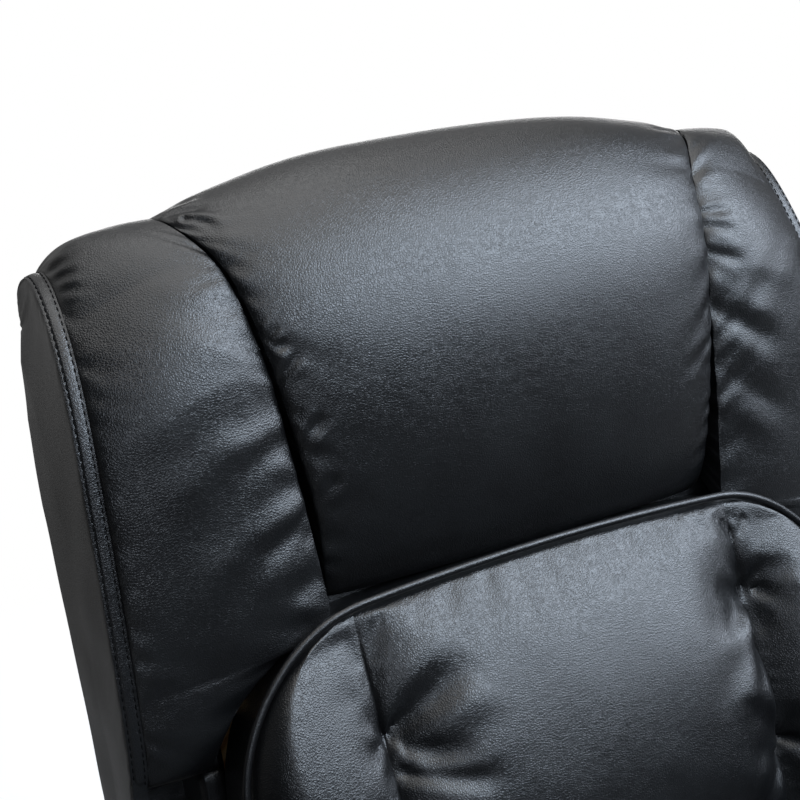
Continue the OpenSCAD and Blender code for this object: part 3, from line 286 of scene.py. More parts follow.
def new_finish(name):
    """An empty material, its tree, the object coordinates and its shader"""
    finish = bpy.data.materials.new(name)
    finish.use_nodes = True
    tree = finish.node_tree
    tree.nodes.clear()
    where = add(tree, "ShaderNodeTexCoord").outputs["Object"]
    shader = add(tree, "ShaderNodeBsdfPrincipled")
    add(tree, "ShaderNodeOutputMaterial", links={"Surface": shader.outputs[0]})
    return finish, tree, where, shader


def ramp(tree, source, stops):
    """A colour ramp from (place, hex colour) pairs"""
    node = add(tree, "ShaderNodeValToRGB", links={"Fac": source})
    elements = node.color_ramp.elements
    while len(elements) < len(stops):
        elements.new(0.5)
    for element, (place, code) in zip(elements, stops):
        element.position, element.color = place, colour(code)
    return node.outputs["Color"]


def noise(tree, where, size_mm, detail=2.0, roughness=0.5):
    """Noise whose lumps are about size_mm across"""
    look = {"Scale": 1 / (size_mm * MM), "Detail": detail, "Roughness": roughness}
    return add(tree, "ShaderNodeTexNoise", look, {"Vector": where}).outputs["Fac"]


def ranged(tree, source, low, high, from_low=0.0, from_high=1.0):
    """A value moved from one range to another"""
    ends = {"From Min": from_low, "From Max": from_high, "To Min": low, "To Max": high}
    return add(tree, "ShaderNodeMapRange", ends, {"Value": source}).outputs["Result"]


def bump(tree, height, distance_mm, strength=1.0, under=None):
    links = {"Height": height} if under is None else {"Height": height, "Normal": under}
    look = {"Strength": strength, "Distance": distance_mm * MM}
    return add(tree, "ShaderNodeBump", look, links).outputs["Normal"]


def feed(tree, shader, base, rough, normal=None):
    """Gives a shader its colour, its roughness (linked, or a plain number) and its bumps"""
    tree.links.new(base, shader.inputs["Base Color"])
    if isinstance(rough, float):
        shader.inputs["Roughness"].default_value = rough
    else:
        tree.links.new(rough, shader.inputs["Roughness"])
    if normal is not None:
        tree.links.new(normal, shader.inputs["Normal"])


# %% [markdown]
# ## Black upholstery leather
# The cover is a pigmented, embossed leather: a black coat with a printed grain of rounded pebbles
# about 2 mm across. The pebbles come from a Voronoi pattern, bent by noise so that no cell repeats,
# and a wider noise makes the soft unevenness of a hide. The coat is satin: a roughness near a third
# gives broad soft highlights, and it varies a little with the same noise.

# %% Leather finishes


def leather(name, dark, light, pebble_mm=1.7, grain=0.15):
    finish, tree, where, shader = new_finish(name)
    bend = add(tree, "ShaderNodeTexNoise", {"Scale": 1 / (6 * MM), "Detail": 1.0}, {"Vector": where})
    bent = add(tree, "ShaderNodeVectorMath", {1: (0.0022, 0.0022, 0.0022)},
               {0: bend.outputs["Color"], 2: where}, operation="MULTIPLY_ADD").outputs[0]
    cells = add(tree, "ShaderNodeTexVoronoi", {"Scale": 1 / (pebble_mm * MM)}, {"Vector": bent},
                feature="DISTANCE_TO_EDGE").outputs["Distance"]
    hide = noise(tree, where, 38, 3.0, 0.55)
    normal = bump(tree, hide, 0.8, 0.35)
    normal = bump(tree, ranged(tree, cells, 0.0, 1.0, 0.0, 0.3), grain, 0.8, normal)
    normal = bump(tree, noise(tree, where, 0.9, 1.0), 0.05, 0.4, normal)
    coat = ramp(tree, hide, [(0.3, dark), (0.75, light)])
    feed(tree, shader, coat, ranged(tree, hide, 0.3, 0.38), normal)
    return finish


BLACK_LEATHER = leather("embossed_black_leather", "#070708", "#0d0e0f")
PIPING_LEATHER = leather("skived_piping_leather", "#060607", "#0b0b0c", 1.5, 0.1)


# %% [markdown]
# ## Thread
# The seams are sewn with thick bonded nylon thread, black and a little waxy.

# %% Thread
THREAD, tree, where, shader = new_finish("bonded_nylon_thread")
feed(tree, shader, ramp(tree, noise(tree, where, 3), [(0.3, "#030303"), (0.8, "#080809")]), 0.85)
shader.inputs["Specular IOR Level"].default_value = 0.1

# %% [markdown]
# ## The edge of the back, seen from the side
# The head roll and the wings bend over the top of the back. One curve of three quarter ellipses
# describes such an edge: up the front from the crease, round to the top and down to the rear panel.
# The same curves are in the CAD, so the dressed pieces lie where the plain solids lie.

# %% Edge curves of the back
# Heights over the top seam: the crease over the cushion, the wings' foot and the rear panel's top
CREASE, WING_FOOT, SHELL_TOP = -306.0, -396.0, -84.0
# The frame's top inside the padding, the depth of its front, and how far a panel of the roll or a
# wing stands back from the seam between them
FRAME_TOP, FRAME_D, SEAM_BACK = -48.0, 95.3, 1.2
ROLL_EDGE = [98, CREASE, 139, -150, 72, -6, 0, SHELL_TOP]
WING_EDGE = [96, WING_FOOT, 125, -190, 46, -52, 0, SHELL_TOP]
WING_SEAM = [102, WING_FOOT, 136, -150, 72, -31, 0, SHELL_TOP]
# The back cushion: foot and top, half width, corner radii at its foot and top, the half width
# at which its swelling ends, the depth of its rim and of the groove along the piping
CUSHION_LOW, CUSHION_TOP = -598.1, -322.0
CUSHION_HALF, FOOT_R, TOP_R, SWELL_HALF = 254.0, 30.0, 104.0, 262
RIM_D, GROOVE = 142.0, 5.5


def pad_curve(p, t):
    """Depth and height of an edge for t from 0 at the crease to 1 at the rear, as an array"""
    a = np.radians(-90 + 270 * np.asarray(t, float))
    c, s = np.cos(a), np.sin(a)
    depth = np.where(a < 0, mixed(p[0], p[2], c), mixed(p[4], p[2], c))
    depth = np.where(a >= np.pi / 2, mixed(p[4], p[6], -c), depth)
    height = np.where(a < 0, mixed(p[3], p[1], -s), mixed(p[3], p[5], s))
    height = np.where(a >= np.pi / 2, mixed(p[7], p[5], s), height)
    return depth, height


def pad_normal(t):
    a = np.radians(-90 + 270 * np.asarray(t, float))
    return np.cos(a), np.sin(a)


def pad_inner(low, top, t):
    """The padding's inner line over the same t: up the frame, back over it, down to the shell"""
    lap, f, k = 30.0, 12 / 22, 20 / 22
    depth = np.where(t < f, FRAME_D, np.where(t < k, mixed(FRAME_D, lap, (t - f) / (k - f)), lap))
    down = mixed(top, SHELL_TOP, (t - k) / (1 - k))
    return depth, np.where(t < f, mixed(low, top, t / f), np.where(t < k, top, down))


def plan_half(half, y, y0, y1, r0, r1):
    """Half width of a plan with rounded ends"""
    front = half - r0 + np.sqrt(np.maximum(0, r0**2 - (y0 + r0 - y) ** 2))
    rear = half - r1 + np.sqrt(np.maximum(0, r1**2 - (y - y1 + r1) ** 2))
    return np.where(y < y0 + r0, front, np.where(y > y1 - r1, rear, half))


def rows_of(y0, y1, r0, r1, n):
    """Rows from y0 to y1 that are closer together in the rounded ends"""
    k = n // 4
    turn = np.radians(90 * np.arange(k + 1) / k)
    middle = mixed(y0 + r0, y1 - r1, np.arange(1, n - 2 * k) / (n - 2 * k))
    return np.concatenate([y0 + r0 * (1 - np.cos(turn)), middle, y1 - r1 + r1 * np.sin(turn)])


def inset_of(x, y, half, y0, y1):
    """How far points lie inside a plan's border"""
    return np.minimum(half - np.abs(x), np.minimum(y - y0, y1 - y))


def pillow(edge, reach=70.0):
    """The rise of a filled edge, from 0 at its seam to 1 where it is reach mm in"""
    return np.sqrt(1 - (1 - unit(edge / reach)) ** 2)


def settled(piece, *nodes, body, slot="black_leather", fill=None):
    """The last step of a piece: it joins its body and hides the CAD nodes it stands for; slot and fill are
    not used
    """
    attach(piece, body)
    if nodes:
        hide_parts(*nodes)


UPRIGHT = {"back": on_back, "seat": on_chair, "ottoman": on_ottoman}


def covered(node, shape, body, fill, name=None):
    """A leather cover for a CAD node, from points and faces in its body's own frame"""
    piece = make_mesh(name or node + "_skin", UPRIGHT[body](shape[0]), shape[1], BLACK_LEATHER)
    settled(piece, node, body=body, fill=fill)


def piped(node, shape, body):
    piece = make_mesh(node + "_cord", UPRIGHT[body](shape[0]), shape[1], PIPING_LEATHER)
    settled(piece, node, body=body, slot="leather_piping")


# Lines of stitches that the pieces ask for, in mm in the room, under the body they move with
SEWN = {"back": [], "seat": [], "ottoman": []}


# %% [markdown]
# ## Letting a cushion fill itself
# A real cushion is flat leather blown up by its filling: it stays put where it is sewn and swells
# between. Blender's cloth does the same. A coarse sheet is enough for that: its sewn points are
# held, a pressure pushes the rest out, and no point may move far. The moves are then spread over
# the fine grid, and the folds and stitches come afterwards, so that none of them is blown flat.

# %% Cloth under pressure
HELD = "sewn"
# The push in the sheet, its spare length, the frames it gets, every how many points of the fine
# grid it has one, and the mm that a point may move
PRESSURE, SPARE, FRAMES, EVERY, MOST = 4.0, 0.004, 16, 2, 12.0


def finer(coarse, shape):
    """A coarse grid of moves, spread evenly over a fine grid"""
    for axis in (0, 1):
        n, m = coarse.shape[axis], shape[axis]
        at = np.linspace(0, n - 1, m)
        low = np.minimum(at.astype(int), n - 2)
        part = (at - low).reshape([-1 if k == axis else 1 for k in range(3)])
        coarse = mixed(np.take(coarse, low, axis), np.take(coarse, low + 1, axis), part)
    return coarse


def puffed(name, grid, held, outward):
    """The grid of a cushion's face (in mm) after its sheet has filled; held marks sewn points"""
    coarse = grid[::EVERY, ::EVERY] * MM
    faces = grid_faces(numbered(coarse))
    i, j = (n // 2 for n in coarse.shape[:2])
    across = np.cross(coarse[i, j + 1] - coarse[i, j], coarse[i + 1, j] - coarse[i, j])
    if across @ np.array(outward) < 0:
        faces = faces[:, ::-1]
    mesh = bpy.data.meshes.new(name)
    mesh.from_pydata(coarse.reshape(-1, 3).tolist(), [], faces.tolist())
    sheet = placed(name, mesh)
    fixed = np.flatnonzero(held[::EVERY, ::EVERY].ravel())
    sheet.vertex_groups.new(name=HELD).add(fixed.tolist(), 1.0, "REPLACE")
    cloth = sheet.modifiers.new("filling", "CLOTH")
    how = cloth.settings
    how.vertex_group_mass = HELD
    how.quality, how.mass = 5, 0.4
    how.tension_stiffness = how.compression_stiffness = 12
    how.shear_stiffness, how.bending_stiffness = 5, 4
    how.use_pressure, how.uniform_pressure_force = True, PRESSURE
    how.shrink_min = -SPARE
    how.effector_weights.gravity = 0
    cloth.point_cache.frame_start, cloth.point_cache.frame_end = 1, FRAMES
    for frame_number in range(1, FRAMES + 1):
        room.frame_set(frame_number)
    blown = np.empty(coarse.size)
    graph = bpy.context.evaluated_depsgraph_get()
    sheet.evaluated_get(graph).data.vertices.foreach_get("co", blown)
    bpy.data.objects.remove(sheet)
    room.frame_set(1)
    move = (blown.reshape(coarse.shape) - coarse) / MM
    far = np.linalg.norm(move, axis=-1, keepdims=True)
    print(name, "fills by", round(float(far.mean()), 1), "mm, at most", round(float(far.max()), 1))
    return grid + finer(move * MOST * np.tanh(far / MOST) / np.maximum(far, 1e-6), grid.shape[:2])


# %% [markdown]
# ## The head roll
# A single panel of leather bulges over the top of the back like a bolster. It is narrower at the
# bottom, where it curves in to a black crease over the cushion, and it is sewn to a wing along each
# side. The seams pull it into gathers, and its top corners have long folds where the stuffing gives.

# %% Where the seams run
T = np.linspace(0, 1, 320)[:, None]
# Half widths over t: of the roll, whose top corners flare, and of the wings' outer edge
ROLL_OUT = ([0, 0.2, 0.3, 0.38, 0.44, 0.48, 0.52, 0.57, 0.66, 0.8, 1],
            [160, 167, 177, 184, 189, 193, 200, 211, 222, 214, 205])
WING_OUT = ([0, 0.2, 0.35, 0.5, 0.66, 0.85, 1], [317, 316, 313, 308, 303, 302, 299])
# The stitched band over a wing's outer edge: how far it reaches on to the wing and on to the side
BAND_IN, BAND_BACK = 11.0, 3.0


def softened(table, t, width=0.03):
    """A table of places over t, without its corners"""
    return sum(np.interp(t + k * width, *table) for k in (-1, -0.5, 0, 0.5, 1)) / 5


def wing_out(side):
    """Half width at a wing's outer edge; the right one is stuffed a little rounder at its corner"""
    right = 10.0 * np.exp(-(((T - 0.47) / 0.13) ** 2)) if side > 0 else 0.0
    return softened(WING_OUT, T) - right


# Creases of the roll, as `folds` takes them, in [x, depth, height over the top seam]
ROLL_FOLDS = [
    (-217, 80, -23, -186, 84, -20, 3.2, -1.8, 0.9), (-213, 88, -30, -186, 101, -29, 3.0, -2.2, 1.0),
    (-204, 98, -37, -187, 113, -43, 2.8, -2.0, 1.0), (-207, 95, -35, -179, 116, -44, 5.0, 1.6, 0.4),
    (-183, 134, -124, -172, 145, -115, 2.6, -2.0, 1.0), (-183, 136, -133, -166, 147, -126, 2.6, -2.2, 1.0),
    (-179, 140, -152, -163, 149, -134, 3.0, -2.2, 1.0), (-173, 130, -192, -165, 146, -168, 3.0, -2.2, 1.0),
    (-172, 134, -199, -153, 150, -176, 3.8, -3.2, 1.0), (-166, 116, -240, -150, 147, -219, 4.2, -3.6, 1.0),
    (205, 92, -36, 180, 96, -30, 3.4, -1.6, 0.9), (176, 128, -190, 158, 146, -178, 4.0, -1.6, 0.9),
    (168, 116, -236, 150, 140, -226, 4.4, -2.2, 0.9),
]

# %% Head roll
# How far the roll bulges, and how far it sinks beside its seams at the top
BULGE, SINK = 21, 26
rng = dice(11)
S = -np.cos(np.pi * np.linspace(0, 1, 151))[None, :]
edge_d, edge_h = pad_curve(ROLL_EDGE, T)
n_d, n_h = pad_normal(T)
full = BULGE * np.where(T < 1 / 3, mixed(0.15, 1.0, np.sin(np.radians(270 * np.minimum(T, 1 / 3)))),
                        np.cos(np.radians(135 * np.clip(T - 1 / 3, 0, 2 / 3))) ** 4.6)
half = softened(ROLL_OUT, T) - SEAM_BACK
swell = full * np.sqrt(1 - np.abs(S) ** 3)
drop = SINK * np.abs(S) ** 2.4 * unit(n_h)
face = np.stack([half * S, edge_d + swell * n_d, np.maximum(edge_h + swell * n_h - drop, CREASE)], -1)
place, across, rest = spread(face)
quiet = np.sin(np.pi * unit(T / 0.98)) ** 0.35
height = gathers(place, across, rng, 24, 24, 5, 1.7) + gathers(place, rest, rng, 24, 24, 5, 1.4)
height += 0.5 * swelling(face, rng, 130) + folds(face, ROLL_FOLDS)
face = pushed(face, height * quiet * pillow(np.minimum(across, rest), 14), (0, 1, 1))
inner_s = np.array([1, 0.33, -0.33, -1])[None, :]
inner = np.stack(np.broadcast_arrays(half * inner_s, *pad_inner(CREASE, FRAME_TOP, T)), -1)
# The roll's leather runs on behind the crease, down behind the cushion
across, up = np.meshgrid(np.linspace(-214, 214, 40), np.linspace(-345, -300, 6))
tucked = np.stack([across, 97.6 + 0 * across, up], -1)
strip = cushion(tucked, [rim_of(tucked) - [0, 2.0, 0]])
covered("head_roll", joined([loft(np.concatenate([face, inner], 1)), strip]), "back", 0.8)

# %% [markdown]
# ## The wings
# Beside the roll and down beside the cushion lie two narrow pads. Each runs from its seam with the
# roll to a sewn outer edge, and is fullest between them.

# %% Wings
SIDES = ((-1, "left"), (1, "right"))
# Creases of each wing, as for the roll, with x measured outwards
WING_FOLDS = {
    -1: [
        (300, 60, -55, 282, 84, -48, 2.6, -2.0, 1.0), (301, 74, -61, 279, 98, -54, 2.8, -2.3, 1.0),
        (302, 84, -68, 278, 108, -65, 2.8, -2.3, 1.0), (303, 92, -76, 278, 116, -75, 2.8, -2.0, 1.0),
        (304, 100, -84, 281, 119, -87, 2.8, -1.6, 1.0), (194, 128, -76, 224, 132, -79, 3.4, -1.6, 1.0),
        (181, 137, -179, 226, 146, -188, 8.0, 2.2, 0.8), (226, 146, -188, 274, 140, -219, 12.0, 2.0, 0.8),
        (181, 137, -190, 222, 146, -206, 7.0, -1.6, 0.8), (176, 136, -232, 216, 142, -246, 7.0, 2.4, 0.9),
        (216, 142, -246, 256, 139, -268, 10.0, 1.6, 0.8), (177, 135, -243, 212, 141, -262, 5.0, -2.2, 0.9),
        (175, 134, -268, 211, 138, -282, 8.0, 1.8, 0.8), (211, 138, -282, 245, 132, -321, 12.0, 1.8, 0.7),
    ],
    1: [
        (203, 127, -74, 225, 130, -72, 3.4, -1.0, 1.0), (191, 131, -97, 217, 139, -99, 3.2, -2.0, 1.0),
        (188, 132, -108, 214, 143, -116, 3.2, -1.8, 1.0), (185, 135, -126, 214, 145, -141, 4.2, -2.6, 1.0),
        (183, 136, -150, 245, 143, -195, 9.0, 2.6, 0.8), (181, 137, -170, 228, 144, -201, 6.0, -3.0, 1.0),
        (178, 136, -190, 240, 142, -232, 8.0, 2.4, 0.8), (176, 133, -214, 236, 139, -262, 7.0, -2.4, 0.9),
        (172, 136, -240, 236, 138, -285, 9.0, 1.8, 0.8), (298, 84, -68, 286, 110, -65, 2.6, -1.3, 1.0),
        (299, 92, -76, 285, 116, -75, 2.6, -1.3, 1.0),
    ],
}


def cushion_outline(h):
    return plan_half(CUSHION_HALF, h, CUSHION_LOW, CUSHION_TOP, FOOT_R, TOP_R)


def wing(side, rng):
    s = 0.5 - 0.5 * np.cos(np.pi * np.linspace(0, 1, 65))[None, :]
    in_d, in_h = pad_curve(WING_SEAM, T)
    out_d, out_h = pad_curve(WING_EDGE, T)
    beside = np.where(in_h < CREASE, cushion_outline(in_h) + 14, 0)
    x0 = np.maximum(softened(ROLL_OUT, T) + SEAM_BACK, beside)
    x1 = wing_out(side) - BAND_IN
    k = mixed(s * s * (1.6 - 0.6 * s), 0.45 * s + 0.55 * s**10, unit((T - 0.5) / 0.13))
    dome = np.sin(np.pi * s) ** np.where(s < 0.5, 0.7, 0.5)
    b = np.interp(T, (0.35, 0.5), (14, 4)) * dome * np.sin(np.pi * np.minimum(T / 0.92, 1))
    face = np.stack([mixed(x0, x1, s), mixed(in_d, out_d, k) + b * n_d,
                     mixed(in_h, out_h, k) + b * n_h], -1)
    place, across, rest = spread(face)
    height = gathers(place, across, rng, 30, 26, 6, 1.6) * np.clip((0.6 - T) / 0.12, 0.12, 1)
    height += gathers(place, rest, rng, 30, 18, 5, 1.0)
    height += 0.6 * swelling(face, rng, 90) + 0.6 * folds(face, WING_FOLDS[side])
    face = pushed(face, height * pillow(np.minimum(across, rest), 9), (0, 1, 1))
    inner = [np.stack(np.broadcast_arrays(mixed(x0, x1, share), *pad_inner(WING_FOOT, top, T)), -1)
             for share, top in ((1, -82.0), (0.4, FRAME_TOP), (0, FRAME_TOP))]
    rings = np.concatenate([face, *inner], 1)
    rings[..., 0] *= side
    return rings


for side, name in SIDES:
    covered(f"wing_{name}", loft(wing(side, dice(20 + side))), "back", 0.7)

# %% [markdown]
# ## The back cushion
# The lower back is a boxed cushion with piping round its edge. Two vertical seams and four tufts
# pull it in, so it has a wide middle and a narrow puff on each side.

# %% Back cushion shape
SEAM_X = 158.0
# How far the cushion rises: its filling, its lower back support, the crown of its rim, and the
# valley beside its right seam
FILLED, SUPPORT, CROWN, VALLEY = 22, 29, 16, 13
# The four tufts of the back cushion; they were sewn by hand, so no two lie quite alike
BACK_TUFTS = [(-155, -404), (163, -386), (-157, -509), (160, -500)]


def sewn_height(x, y, tufts, tuft_w, seam_deep=21.0, tuft_deep=28.0):
    """How far seams and tufts pull a face in; the left puff slopes to its seam, the right is full"""
    line = np.abs(x) - SEAM_X
    wide = np.where(line > 0, np.where(x < 0, 52.0, 24.0), np.where(x < 0, 23.0, 13.0))
    seam = 0.6 * np.exp(-((line / wide) ** 2)) + 0.4 * np.exp(-np.abs(line) / 4.5)
    pull = np.zeros_like(x)
    for x0, y0 in tufts:
        out, up = (x - x0) * np.sign(x0), y - y0
        r = np.hypot(out * (1.3 + 0.35 * np.tanh(out / 9)), up * (0.9 + 0.15 * np.tanh(up / 12)))
        a = np.arctan2(up, x - x0)
        star = 1 + 0.16 * np.cos(5 * a + 0.01 * y0) * np.exp(-((r - 26) / 22) ** 2)
        cone = 0.75 * np.exp(-(r * r) / (2 * tuft_w**2)) + 0.25 * np.exp(-r / 7)
        pull = np.maximum(pull, cone * star)
    return np.cbrt((seam_deep * seam) ** 3 + (tuft_deep * pull) ** 3)


def held_points(x, y, seam_x, tufts, inset):
    """Where a cushion's sheet is sewn down: its rim, its two seams and round each tuft"""
    sewn = (inset < 3) | (np.abs(np.abs(x) - seam_x) < 2.6)
    for x0, y0 in tufts:
        sewn |= np.hypot(x - x0, y - y0) < 10
    return sewn


def lumbar(x, h):
    """The lower back support: how far the middle of the cushion stands out over its height"""
    rise = np.sin(np.pi / 2 * unit((CUSHION_TOP - h) / 200)) ** 1.3
    return SUPPORT * rise * pillow(h - CUSHION_LOW + 4, 90) * (1 - 0.5 * (np.abs(x) / SWELL_HALF) ** 3)


def crown(x, h):
    """How far the cushion's rim stands over its plan, most in the middle of its top"""
    share = unit((h - CUSHION_LOW) / (CUSHION_TOP - CUSHION_LOW))
    return CROWN * np.maximum(0, 1 - (x / SWELL_HALF) ** 2) * share**2


# Creases round the two upper tufts, in [x, height over the top seam]
BACK_FOLDS = [
    (-145, -395, -88, -358, 10.0, -3.0, 1.0), (-140, -402, -84, -372, 10.0, 2.4, 0.6),
    (-146, -410, -100, -419, 5.4, -2.2, 1.0), (-150, -422, -90, -440, 6.0, -2.6, 1.0),
    (151, -328, 160, -343, 3.0, -1.2, 0.8), (171, -330, 161, -343, 3.0, -1.2, 0.8),
    (154, -384, 122, -366, 8.0, -2.2, 1.0), (150, -390, 116, -399, 7.0, -1.6, 1.0),
    (148, -397, 104, -415, 9.0, 2.0, 0.9), (152, -404, 134, -456, 6.5, -1.8, 1.0),
    (140, -406, 110, -466, 10.0, 1.8, 0.8), (168, -386, 200, -364, 7.0, -1.8, 1.0),
]


def star_folds(tufts, rng, reach=52.0):
    """Short creases that run away from each tuft, none of them along its seam"""
    lines = []
    for x, y in tufts:
        for turn in (-42, 24, 156, 214):
            a = math.radians(turn + rng.normal(0, 12))
            far = reach * (0.6 + 0.6 * rng.random())
            c, s = math.cos(a), math.sin(a)
            width, height = 6.4 * (0.8 + 0.5 * rng.random()), -2.4 * (0.6 + 0.6 * rng.random())
            lines.append((x + 7 * c, y + 7 * s, x + far * c, y + far * s - 4, width, height, 1.0))
    return lines


# %% Back cushion
rng = dice(31)
h = rows_of(CUSHION_LOW, CUSHION_TOP, FOOT_R, TOP_R, 160)[:, None]
half = cushion_outline(h)
# The columns run along the two seams, and lie closer together beside them
seam_x = np.minimum(SEAM_X, 0.97 * half)
inner, outer = np.sin(np.pi / 2 * np.linspace(-1, 1, 121)), np.linspace(0, 1, 41)[1:] ** 1.25
x = np.concatenate([-mixed(seam_x, half, outer[::-1]), seam_x * inner, mixed(seam_x, half, outer)], 1)
h = h + 0 * x
inset = inset_of(x, h, half, CUSHION_LOW, CUSHION_TOP)
inside = np.minimum(3.2 * (half - np.abs(x)), np.minimum(CUSHION_TOP - h, h - CUSHION_LOW))
rise = np.sin(np.pi / 2 * unit(inside / 108)) ** 0.75
valley = VALLEY * np.exp(-(((x - SEAM_X) / np.where(x > SEAM_X, 22, 7)) ** 2))
valley *= unit((-366 - h) / 50)
full = FILLED + lumbar(x, h) - sewn_height(x, h, BACK_TUFTS, 24) - valley
face = np.stack([x, RIM_D - GROOVE + GROOVE * np.tanh(inset / 3) + rise * full, h + crown(x, h)], -1)
face = puffed("back_sheet", face, held_points(x, h, SEAM_X, BACK_TUFTS, inset), (0, 1, 0))
height = 0.6 * swelling(face, rng, 110) + gathers(x, inset, rng, 40, 16, 6, 0.8)
height += folds(face[..., [0, 2]], BACK_FOLDS + star_folds(BACK_TUFTS[2:], rng))
face = pushed(face, height * pillow(inset, 20), (0, 1, 0))
rim = rim_of(face)
boxed = [at_depth(rim * [k, 1, 1], d) for k, d in ((1.0, 130.0), (0.994, 115.0), (1.0, 95.6))]
covered("back_cushion", cushion(face, boxed), "back", 0.75)

# %% [markdown]
# ## Piping
# A cord wrapped in thin leather is sewn into an edge. It is a tube along the edge.

# %% Piping
CORD_SIDES = 12
# Of the back's cord and of the flat cushions' cords: its radius and how far it is from the plan
BACK_CORD_R, BACK_CORD_OUT, FLAT_CORD_R, FLAT_CORD_OUT = 3.0, 3.3, 4.0, 4.3


def tube(path, radius, up, closed=False):
    """Rings of a round cord along a path in mm; up is a direction that is never along it"""
    path = np.asarray(path, float)
    ahead = np.roll(path, -1, 0) - np.roll(path, 1, 0) if closed else np.gradient(path, axis=0)
    ahead /= np.linalg.norm(ahead, axis=1, keepdims=True)
    a = np.cross(ahead, np.array(up, float))
    a /= np.linalg.norm(a, axis=1, keepdims=True)
    b = np.cross(a, ahead)
    turn = (2 * np.pi * np.arange(CORD_SIDES) / CORD_SIDES)[None, :, None]
    return loft(path[:, None] + radius * (np.cos(turn) * a[:, None] + np.sin(turn) * b[:, None]), closed)


def evened(path, step, closed=False):
    """The same line with points about step mm apart"""
    path = np.asarray(path, float)
    if closed:
        path = looped(path)
    run = np.concatenate([[0], np.cumsum(np.linalg.norm(np.diff(path, axis=0), axis=1))])
    n = max(int(run[-1] / step), 4)
    at = np.linspace(0, run[-1], n + 1)[: n if closed else n + 1]
    return np.stack([np.interp(at, run, path[:, k]) for k in range(3)], -1)


w, r, gap = CUSHION_HALF, TOP_R, BACK_CORD_OUT
line = [(-w - gap, mixed(CUSHION_LOW + FOOT_R, CUSHION_TOP - r, i / 20)) for i in range(21)]
line += [(-w + r - (r + gap) * math.cos(a), CUSHION_TOP - r + (r + gap) * math.sin(a))
         for a in np.radians(90 * np.arange(1, 25) / 24)]
top_line = [(mixed(-w + r, w - r, i / 40), CUSHION_TOP + gap) for i in range(1, 40)]
line = np.array(line + top_line + [(-x, h) for x, h in reversed(line)])
path = np.stack([line[:, 0], np.full(len(line), 142.8), line[:, 1] + crown(line[:, 0], line[:, 1])], -1)
piped("back_piping", tube(evened(path, 5), BACK_CORD_R, (0, 1, 0)), "back")

# %% [markdown]
# ## Cushions that lie flat
# The seat and the footstool have the same kind of cushion: a crowned top with two seams and four
# tufts, piping at its edge and a boxing strip down to the frame. One function makes both.

# %% Seat and footstool cushions


def outward_of(rim):
    """Unit directions away from a closed plan"""
    ahead = np.roll(rim, -1, 0) - np.roll(rim, 1, 0)
    out = np.stack([ahead[:, 1], -ahead[:, 0]], -1)
    out /= np.maximum(np.linalg.norm(out, axis=1, keepdims=True), 1e-9)
    return out * (1 if (out * (rim[:, :2] - rim[:, :2].mean(0))).sum() > 0 else -1)


def let_out(line, out, by, z):
    """A closed line moved outwards in plan, at the height z"""
    return np.stack([line[:, 0] + out[:, 0] * by, line[:, 1] + out[:, 1] * by, z + 0 * line[:, 0]], -1)


def flat_cushion(half, y0, y1, r0, r1, z0, z1, swell, tufts, seam_x, rng):
    y = rows_of(y0, y1, r0, r1, 120)[:, None]
    width = plan_half(half, y, y0, y1, r0, r1)
    x = width * np.linspace(-1, 1, 121)[None, :]
    y = y + 0 * x
    inset = inset_of(x, y, width, y0, y1)
    rise = pillow(inset)
    z = z1 + swell * rise - rise * sewn_height(x * SEAM_X / seam_x, y, tufts, 30, 13.0, 30.0)
    face = np.stack([x, y, z], -1)
    spots = [(x0 * seam_x / SEAM_X, y0) for x0, y0 in tufts]
    face = puffed("flat_sheet", face, held_points(x, y, seam_x, spots, inset), (0, 0, 1))
    height = 1.1 * swelling(face, rng, 65)
    height += folds(face[..., :2] * [SEAM_X / seam_x, 1], star_folds(tufts, rng))
    along = np.where(np.abs(y - (y0 + y1) / 2) > (y1 - y0) * 0.4, x, y)
    height += gathers(along, inset, rng, 28, 24, 6, 1.6)
    face = pushed(face, height * pillow(inset, 20), (0, 0, 1))
    rim = rim_of(face)
    out = outward_of(rim)
    return cushion(face, [let_out(rim, out, 3.5 * math.sin(math.pi * k) ** 0.8, mixed(z1, z0, k))
                          for k in np.linspace(0.08, 1, 12)])


def plan_line(half, y0, y1, r0, r1, out=0.0, z=0.0, inner=None):
    """A line round a plan with round corners; inner is the radius of its front corner at -half"""
    line, ri = [], r0 if inner is None else inner
    for x, y, r, start in ((-half + r1, y1 - r1, r1, 90), (-half + ri, y0 + ri, ri, 180),
                           (half - r0, y0 + r0, r0, 270), (half - r1, y1 - r1, r1, 0)):
        for a in np.radians(start + 90 * np.arange(17) / 16):
            line.append((x + (r + out) * math.cos(a), y + (r + out) * math.sin(a), z))
    return evened(line, 5, closed=True)


# Each cushion's plan (half width, front, rear, corner radii), foot, seam, crown, tufts and seams
for body, plan, z0, z1, swell, tufts, seam_x, seed in (
    ("seat", (258, -320, 156, 70, 24), 290.6, 394, 52,
     [(-158, -151), (158, -147), (-156, 12), (160, 14)], SEAM_X, 41),
    ("ottoman", (252, -212, 212, 60, 60), 236.6, 370, 50,
     [(-158, -77), (157, -75), (-157, 77), (159, 75)], 142.2, 42),
):
    shape = flat_cushion(*plan, z0, z1, swell, tufts, seam_x, dice(seed))
    covered(f"{body}_cushion", shape, body, 0.75)
    border = plan_line(*plan, FLAT_CORD_OUT, z1)
    piped(f"{body}_piping", tube(border, FLAT_CORD_R, (0, 0, 1), closed=True), body)

# %% [markdown]
# ## Arms
# An arm is a flat padded side under a long pillow. The pillow is rounder at the front, where the
# leather is gathered over its end.

# %% Arm pads and sides


